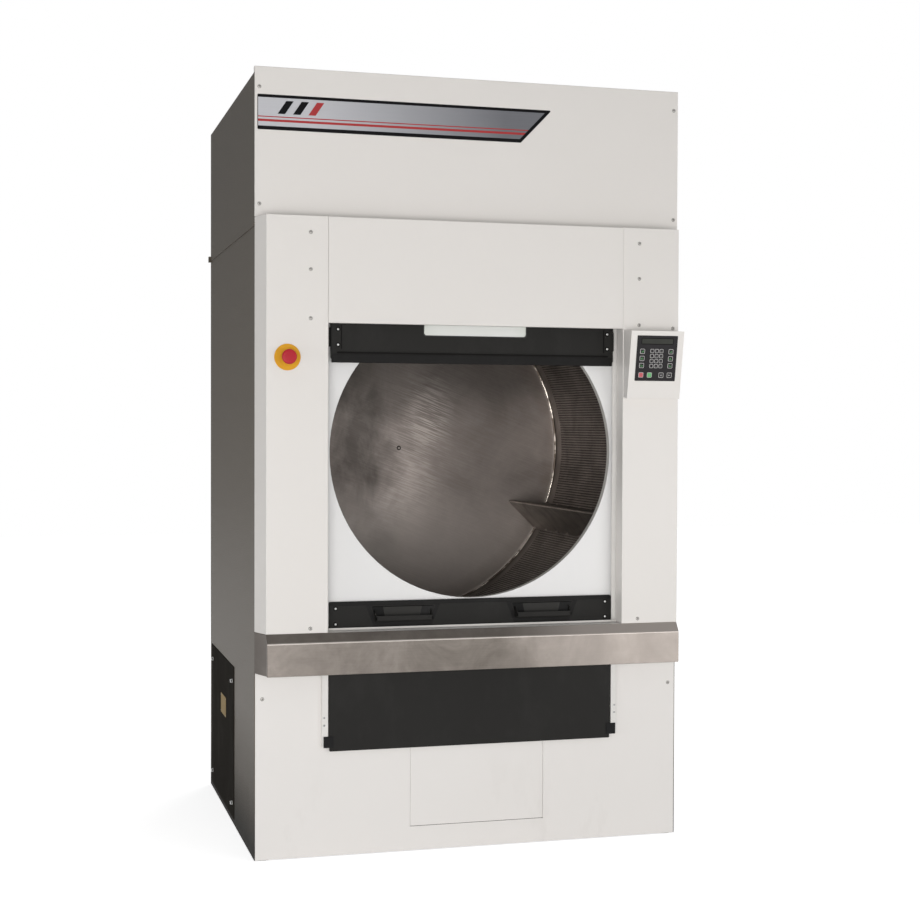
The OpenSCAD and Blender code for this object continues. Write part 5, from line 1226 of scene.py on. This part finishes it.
def makeDrumBack():
    b = drumBack
    front, back, wide, deep, boss, end = (b[k] for k in ("front", "back", "hub", "hubY", "boss", "bossY"))
    piece = Piece("drumBackPlate", "back", "drum")
    profile = [(0, front), (592, front), (598, front - 1.2), (603.6, front - 2.2), (603.9, front),
               (b["radius"], front), (b["radius"], back), (wide + 4, back), (wide, back + 4),
               (wide, deep - 1.5), (wide - 2, deep), (boss, deep), (boss, end - 1.5), (boss - 1.5, end),
               (b["bore"], end), (b["bore"], back), (0, back)]
    piece.lathe("y", hub, profile, 96)
    piece.turned("y", hub, front, b["bolt"])
    for i in range(b["ribs"]):
        rib = aroundDrum(math.tau * (i + 0.5) / b["ribs"], b["rib"])
        piece.use("back").prism("y", rib, front + 2.8, deep)
    piece.make(0.4, instead=["drum_back"])


weld = {"count": 240, "coarse": 30, "lump": 0.45}


def makeWeld():  # uneven bead round the back plate
    piece = Piece("drumBackWeld", "weld", "drum")
    rings = []
    for i in range(weld["count"]):
        turn = math.tau * i / weld["count"]
        across, up = math.cos(turn), math.sin(turn)
        lump = 1 + weld["lump"] * noise.noise(Vector((across * weld["coarse"], up * weld["coarse"], 2)))
        section = [(603.8, 984.9), (603.8, 982.6 - 1.5 * lump), (602.2 - 1.2 * lump, 982.4 - 1.0 * lump),
                   (599.5 - 1.6 * lump, 984.9)]
        rings.append([piece.mesh.verts.new(at(r * across, y, axisZ + r * up)) for r, y in section])
    piece.skin(rings, looped=True)
    piece.make(crease=60)


lifter = {"count": 4, "turn": -25, "base": 601.35, "half": 52.4, "tip": 465.2, "tipHalf": 2.6, "from": 43.4,
          "to": 984.6, "feet": range(110, 960, 120), "foot": [(0, -9), (2.4, -7), (3.0, 0), (2.4, 7), (0, 9)]}


def makeLifters():
    q = lifter
    piece = Piece("drumLifters", "lifter", "drum")
    base, half, tip, small = q["base"], q["half"], q["tip"], q["tipHalf"]
    outline = filleted([(base, -half), (base, half), (tip, small), (tip, -small)], [0.4, 0.4, 4.8, 4.8], 5)
    for i in range(q["count"]):
        turn = math.radians(q["turn"] + 360 * i / q["count"])
        piece.prism("y", aroundDrum(turn, outline), q["from"], q["to"])
        for s in sides:  # its welded feet
            spot, = aroundDrum(turn, [(base - 8, s * (half - 1.2))])
            for y in q["feet"]:
                piece.turned("y", spot, y, [("lifter", 10, q["foot"])])
    piece.make(instead=["drum_lifters"])


mouth = {"profile": [(470, 17.4), (471.6, 17), (473, 17.8), (473, 38.6), (474.4, 40), (604, 40), (606, 41),
                     (606, 43), (475, 43), (471.8, 42.4), (470, 40.5)]}


def makeMouth():
    piece = Piece("drumMouth", "lifter", "drum")
    piece.lathe("y", hub, mouth["profile"], 120, looped=True)
    piece.make(instead=["drum_front_ring"])


opening = {"profile": [(447, 2.2), (447, 23.6), (447.4, 24.6), (448.2, 25), (449, 24.4), (449, 5.2),
                       (450.4, 4), (462.2, 4), (463, 3.4), (463, 2)],
           "rivets": 12, "rivetR": 456.5, "rivet": [("zinc", 6, [(4, 3.9), (4, 5.6), (0, 5.9)])]}


def makeRim():
    count = opening["rivets"]
    piece = Piece("openingRim", "rim")
    piece.lathe("y", hub, opening["profile"], 128, looped=True)
    for spot in circle(hub, opening["rivetR"], count, math.pi / count):
        piece.turned("y", spot, 0, opening["rivet"])
    piece.make(instead=["opening_rim"])


# Drive belts with their ribs
jackshaft = (340, 760)
belts = [{"a": hub, "ra": 290.3, "b": jackshaft, "rb": 43.3, "y": 1203.5, "wide": 34, "ribs": 3},
         {"a": jackshaft, "ra": 135.3, "b": (470, 420), "rb": 35.3, "y": 1157.5, "wide": 26, "ribs": 2}]


def beltLoop(b, grow):  # round both pulleys
    gap = Vector(b["b"]) - Vector(b["a"])
    ra, rb = b["ra"] + grow, b["rb"] + grow
    heading = math.atan2(gap.y, gap.x)
    lean = math.acos((ra - rb) / gap.length)
    loop = []
    for (x, z), radius, start, sweep, count in ((b["a"], ra, lean, math.tau - 2 * lean, 60),
                                                (b["b"], rb, -lean, 2 * lean, 24)):
        turns = [heading + start + sweep * k / count for k in range(count + 1)]
        loop += [(x + radius * math.cos(t), z + radius * math.sin(t)) for t in turns]
    return loop


def makeBelts():
    piece = Piece("ribbedBelts", "rubber")
    for b in belts:
        first, last = b["y"], b["y"] + b["wide"]
        pitch = b["wide"] / b["ribs"]
        profile = [(9.9, first + 0.8), (9.2, first)]
        for i in range(b["ribs"]):
            y = first + pitch * i
            profile += [(5.4, y + 0.4), (0.2, y + 0.3 * pitch), (0.2, y + 0.7 * pitch),
                        (5.4, y + pitch - 0.4)]
        profile += [(9.2, last), (9.9, last - 0.8)]
        piece.loft("y", [(beltLoop(b, grow), y) for grow, y in profile], looped=True)
    piece.make(instead=["drive_belts"])


# The cabinet's back and sides: hoods over the louvres, fasteners, fittings and feet
shell = {"back": 1088, "side": 672.5, "roof": 2343}
louvre = {"seam": 1895, "step": 26.353, "rows": range(4, 12), "half": 286, "reach": 9, "cheek": 1.4}


def makeLouvres():
    q = louvre
    back, out, half = shell["back"], shell["back"] + q["reach"], q["half"]
    piece = Piece("louvreHoods", "hood")
    for i in q["rows"]:
        high = q["seam"] + q["step"] * (i + 0.5)
        low = high - 10
        hood = [(back - 0.1, high + 2.5), (back + 1.6, high + 2.5), (out, low + 1), (out, low - 1.5),
                (out - 1.3, low - 1.5), (out - 1.3, low + 0.4), (back - 0.1, high + 0.6)]
        piece.prism("x", filleted(hood, [0, 3, 3, 0, 0, 2, 2], 3), -half, half)
        cheek = [(back - 0.1, high + 2), (out - 0.4, low + 0.8), (out - 0.4, low - 1.5),
                 (back - 0.1, low - 2.5)]
        for s in sides:
            piece.prism("x", cheek, *sorted((s * half, s * (half - q["cheek"]))))
    piece.make(0.3)


shellScrews = {  # the left side shows none; high is the head's height, slot half its length
    "back": {"axis": "y", "face": shell["back"], "high": 2.2, "slot": 2.4,
             "spots": [(s * 652, z) for s in sides for z in range(110, 1880, 220)] +
                      [(s * 652, z) for s in sides for z in (1950, 2120, 2290)] +
                      [(x, z) for x in range(-520, 521, 260) for z in (40, 1870, 1925, 2322)]},
    "housing": {"axis": "x", "face": shell["side"], "high": 2.1, "slot": 2.3,
                "spots": [(y, z) for y in (60, 310, 560, 810, 1040) for z in (1868, 1924, 2320)]},
    "roof": {"axis": "z", "face": shell["roof"], "high": 2.2, "slot": 0,
             "spots": [(x, y) for x in range(-600, 601, 240) for y in (36, 1062)] +
                      [(s * 650, y) for s in sides for y in (300, 560, 820)]},
    "panel": {"axis": "x", "face": shell["side"], "high": 2.1, "slot": 2.3,
              "spots": [(y, z) for z in range(160, 1860, 240) for y in (40, 1060)]}}


def makeShellFasteners():
    piece = Piece("shellFasteners", "screw")
    for row in shellScrews.values():
        axis, face, high = row["axis"], row["face"], row["high"]
        # a thin dark ring under each head is a painted shadow
        head = [("recess", 20, [(6.25, 0), (6.25, 0.05), (0, 0.05)]),
                ("screw", 20, [(5, 0), (5, 0.6), (4, high - 0.5), (2, high), (0, high)])]
        for spot in row["spots"]:
            piece.turned(axis, spot, face, head)
            if row["slot"]:
                slotCut(piece, axis, spot, row["slot"], 0.5, face + high - 0.2, face + high + 0.05)
    piece.make()


duct = {"at": (-120, 242), "radius": 150, "beads": (1124, 1154), "screws": 12, "screwsOut": 15,
        "bead": [(-0.3, -6), (1.4, -4.6), (3.2, -2), (3.6, 0), (3.2, 2), (1.4, 4.6), (-0.3, 6)],
        "screw": [("screw", 18, [(5, 1090.9), (5, 1092), (3.6, 1093.4), (0, 1093.9)])]}


def makeDuctBeads():
    radius, count = duct["radius"], duct["screws"]
    piece = Piece("ductBeads", "sheet")
    for y in duct["beads"]:
        bead = [(radius + out, y + along) for out, along in duct["bead"]]
        piece.lathe("y", duct["at"], bead, 96, looped=True)
    for spot in circle(duct["at"], radius + duct["screwsOut"], count, math.pi / count):
        piece.turned("y", spot, 0, duct["screw"])
    piece.make()


pipes = {"x": 390, "z": (1957, 2137), "from": 1104, "to": 1127, "turns": 10, "pitch": 2.2, "root": 20.9,
         "flank": 21.3, "crest": 22.3,
         "nut": [(27, 1090.5), (30, 1091.6), (31.4, 1092.5), (31.4, 1100), (30, 1101.4), (21, 1101.4),
                 (21, 1090.5)]}


def makePipeThreads():
    p = pipes
    thread = [(p["root"], p["from"])]
    for i in range(p["turns"]):
        y = p["from"] + p["pitch"] * i
        thread += [(p["flank"], y + 0.6), (p["crest"], y + 1.5), (p["flank"], y + 2.4)]
    thread.append((p["root"], p["to"]))
    piece = Piece("pipeThreads", "coil")
    for z in p["z"]:
        piece.lathe("y", (p["x"], z), thread, 40, looped=True)
        piece.lathe("y", (p["x"], z), p["nut"], 6, looped=True)
    piece.make(0.5)


gland = {"at": (500, 1699), "grips": 12, "gripR": 16,
         "nut": [(16.1, 1089), (25.6, 1089), (26.4, 1089.8), (26.4, 1095.4), (25.6, 1096.2), (16.1, 1096.2)],
         "grip": [("nylon", 10, [(0, 1097), (2, 1097.6), (2.2, 1100), (2.2, 1110), (1.4, 1115), (0, 1116)])]}


def makeGlandNut():
    piece = Piece("glandNut", "nylon")
    piece.lathe("y", gland["at"], gland["nut"], 6, looped=True)
    for spot in circle(gland["at"], gland["gripR"], gland["grips"]):
        piece.turned("y", spot, 0, gland["grip"])
    piece.make(0.4)


bearings = {"units": [(hub, 62, 1162), (jackshaft, 45, 1100)],
            "bolt": [("zinc", 24, [(12, -0.1), (12, 1.8), (0, 1.8)]),
                     ("zinc", 6, [(9, 1.7), (9, 7.4), (8, 8.2), (0, 8.2)])]}


def makeBearingBolts():
    piece = Piece("bearingBolts", "zinc")
    for (x, z), reach, face in bearings["units"]:
        for across in sides:
            for up in sides:
                piece.turned("y", (x + across * reach, z + up * reach), face, bearings["bolt"])
    piece.make(0.3)


feet = {"x": 645, "y": (27.3, 1060.7),
        "nut": [(13, 5.2), (15, 6), (15, 10.4), (13.8, 11.6), (9, 11.6), (9, 5.2)]}


def makeFeet():
    piece = Piece("levellingNuts", "zinc")
    for s in sides:
        for y in feet["y"]:
            piece.lathe("z", (s * feet["x"], y), feet["nut"], 6, looped=True)
    piece.make(0.3)


makeDrumBack()
makeWeld()
makeLifters()
makeMouth()
makeRim()
makeBelts()
makeLouvres()
makeShellFasteners()
makeDuctBeads()
makePipeThreads()
makeGlandNut()
makeBearingBolts()
makeFeet()
edgeWidths = {"bearing_frame": 1.5, "drive_bearings": 2, "drum_pulley": 1.5, "motor_pulley": 0.8,
              "jackshaft": 1.0, "control_box": 1.2, "drive_motor": 1.5, "blower_motor": 1.5}
for name, width in edgeWidths.items():
    roundEdges(nodes[name], width, angle=40)
print("pieces ready")


# The frame's own pieces, by the look that each one takes
nodeLooks = {
    "frame": "base_frame bearing_frame",
    "zinc": "levelling_feet panel_latches panel_screws door_stub_shafts stop_plunger",
    "side": "left_side_panel right_side_panel rear_panel upper_housing",
    "low": "lower_front_panel lint_cover",
    "inner": "front_plate",
    "rim": "opening_rim",
    "felt": "drum_seal",
    "white": "left_column_cover right_column_cover upper_front_panel top_front_panel control_box",
    "sill": "sill",
    "black": "trim_band side_access_panel",
    "track": "door_tracks",
    "door": "upper_door upper_door_brackets lower_door door_handles lower_door_brackets",
    "glass": "window_glass",
    "rubber": "window_gasket door_belts drive_belts",
    "nylon": "upper_door_glides lower_door_glides power_inlet keypad",
    "sheet": "door_pulley_upper_left door_pulley_upper_right door_pulley_lower_left door_pulley_lower_right "
             "blower_housing blower_wheel exhaust_collar lint_screen",
    "wall": "drum_shell",
    "back": "drum_back",
    "lifter": "drum_front_ring drum_lifters",
    "shaft": "drum_shaft",
    "pulley": "drum_pulley jackshaft motor_pulley",
    "iron": "drive_bearings",
    "motor": "drive_motor blower_motor",
    "coil": "steam_coil",
    "yellow": "stop_base",
    "red": "stop_button",
}
for look, names in nodeLooks.items():
    for name in names.split():
        mesh = nodes[name].data
        mesh.materials.clear()
        mesh.materials.append(looks[look])
print("frame dressed")
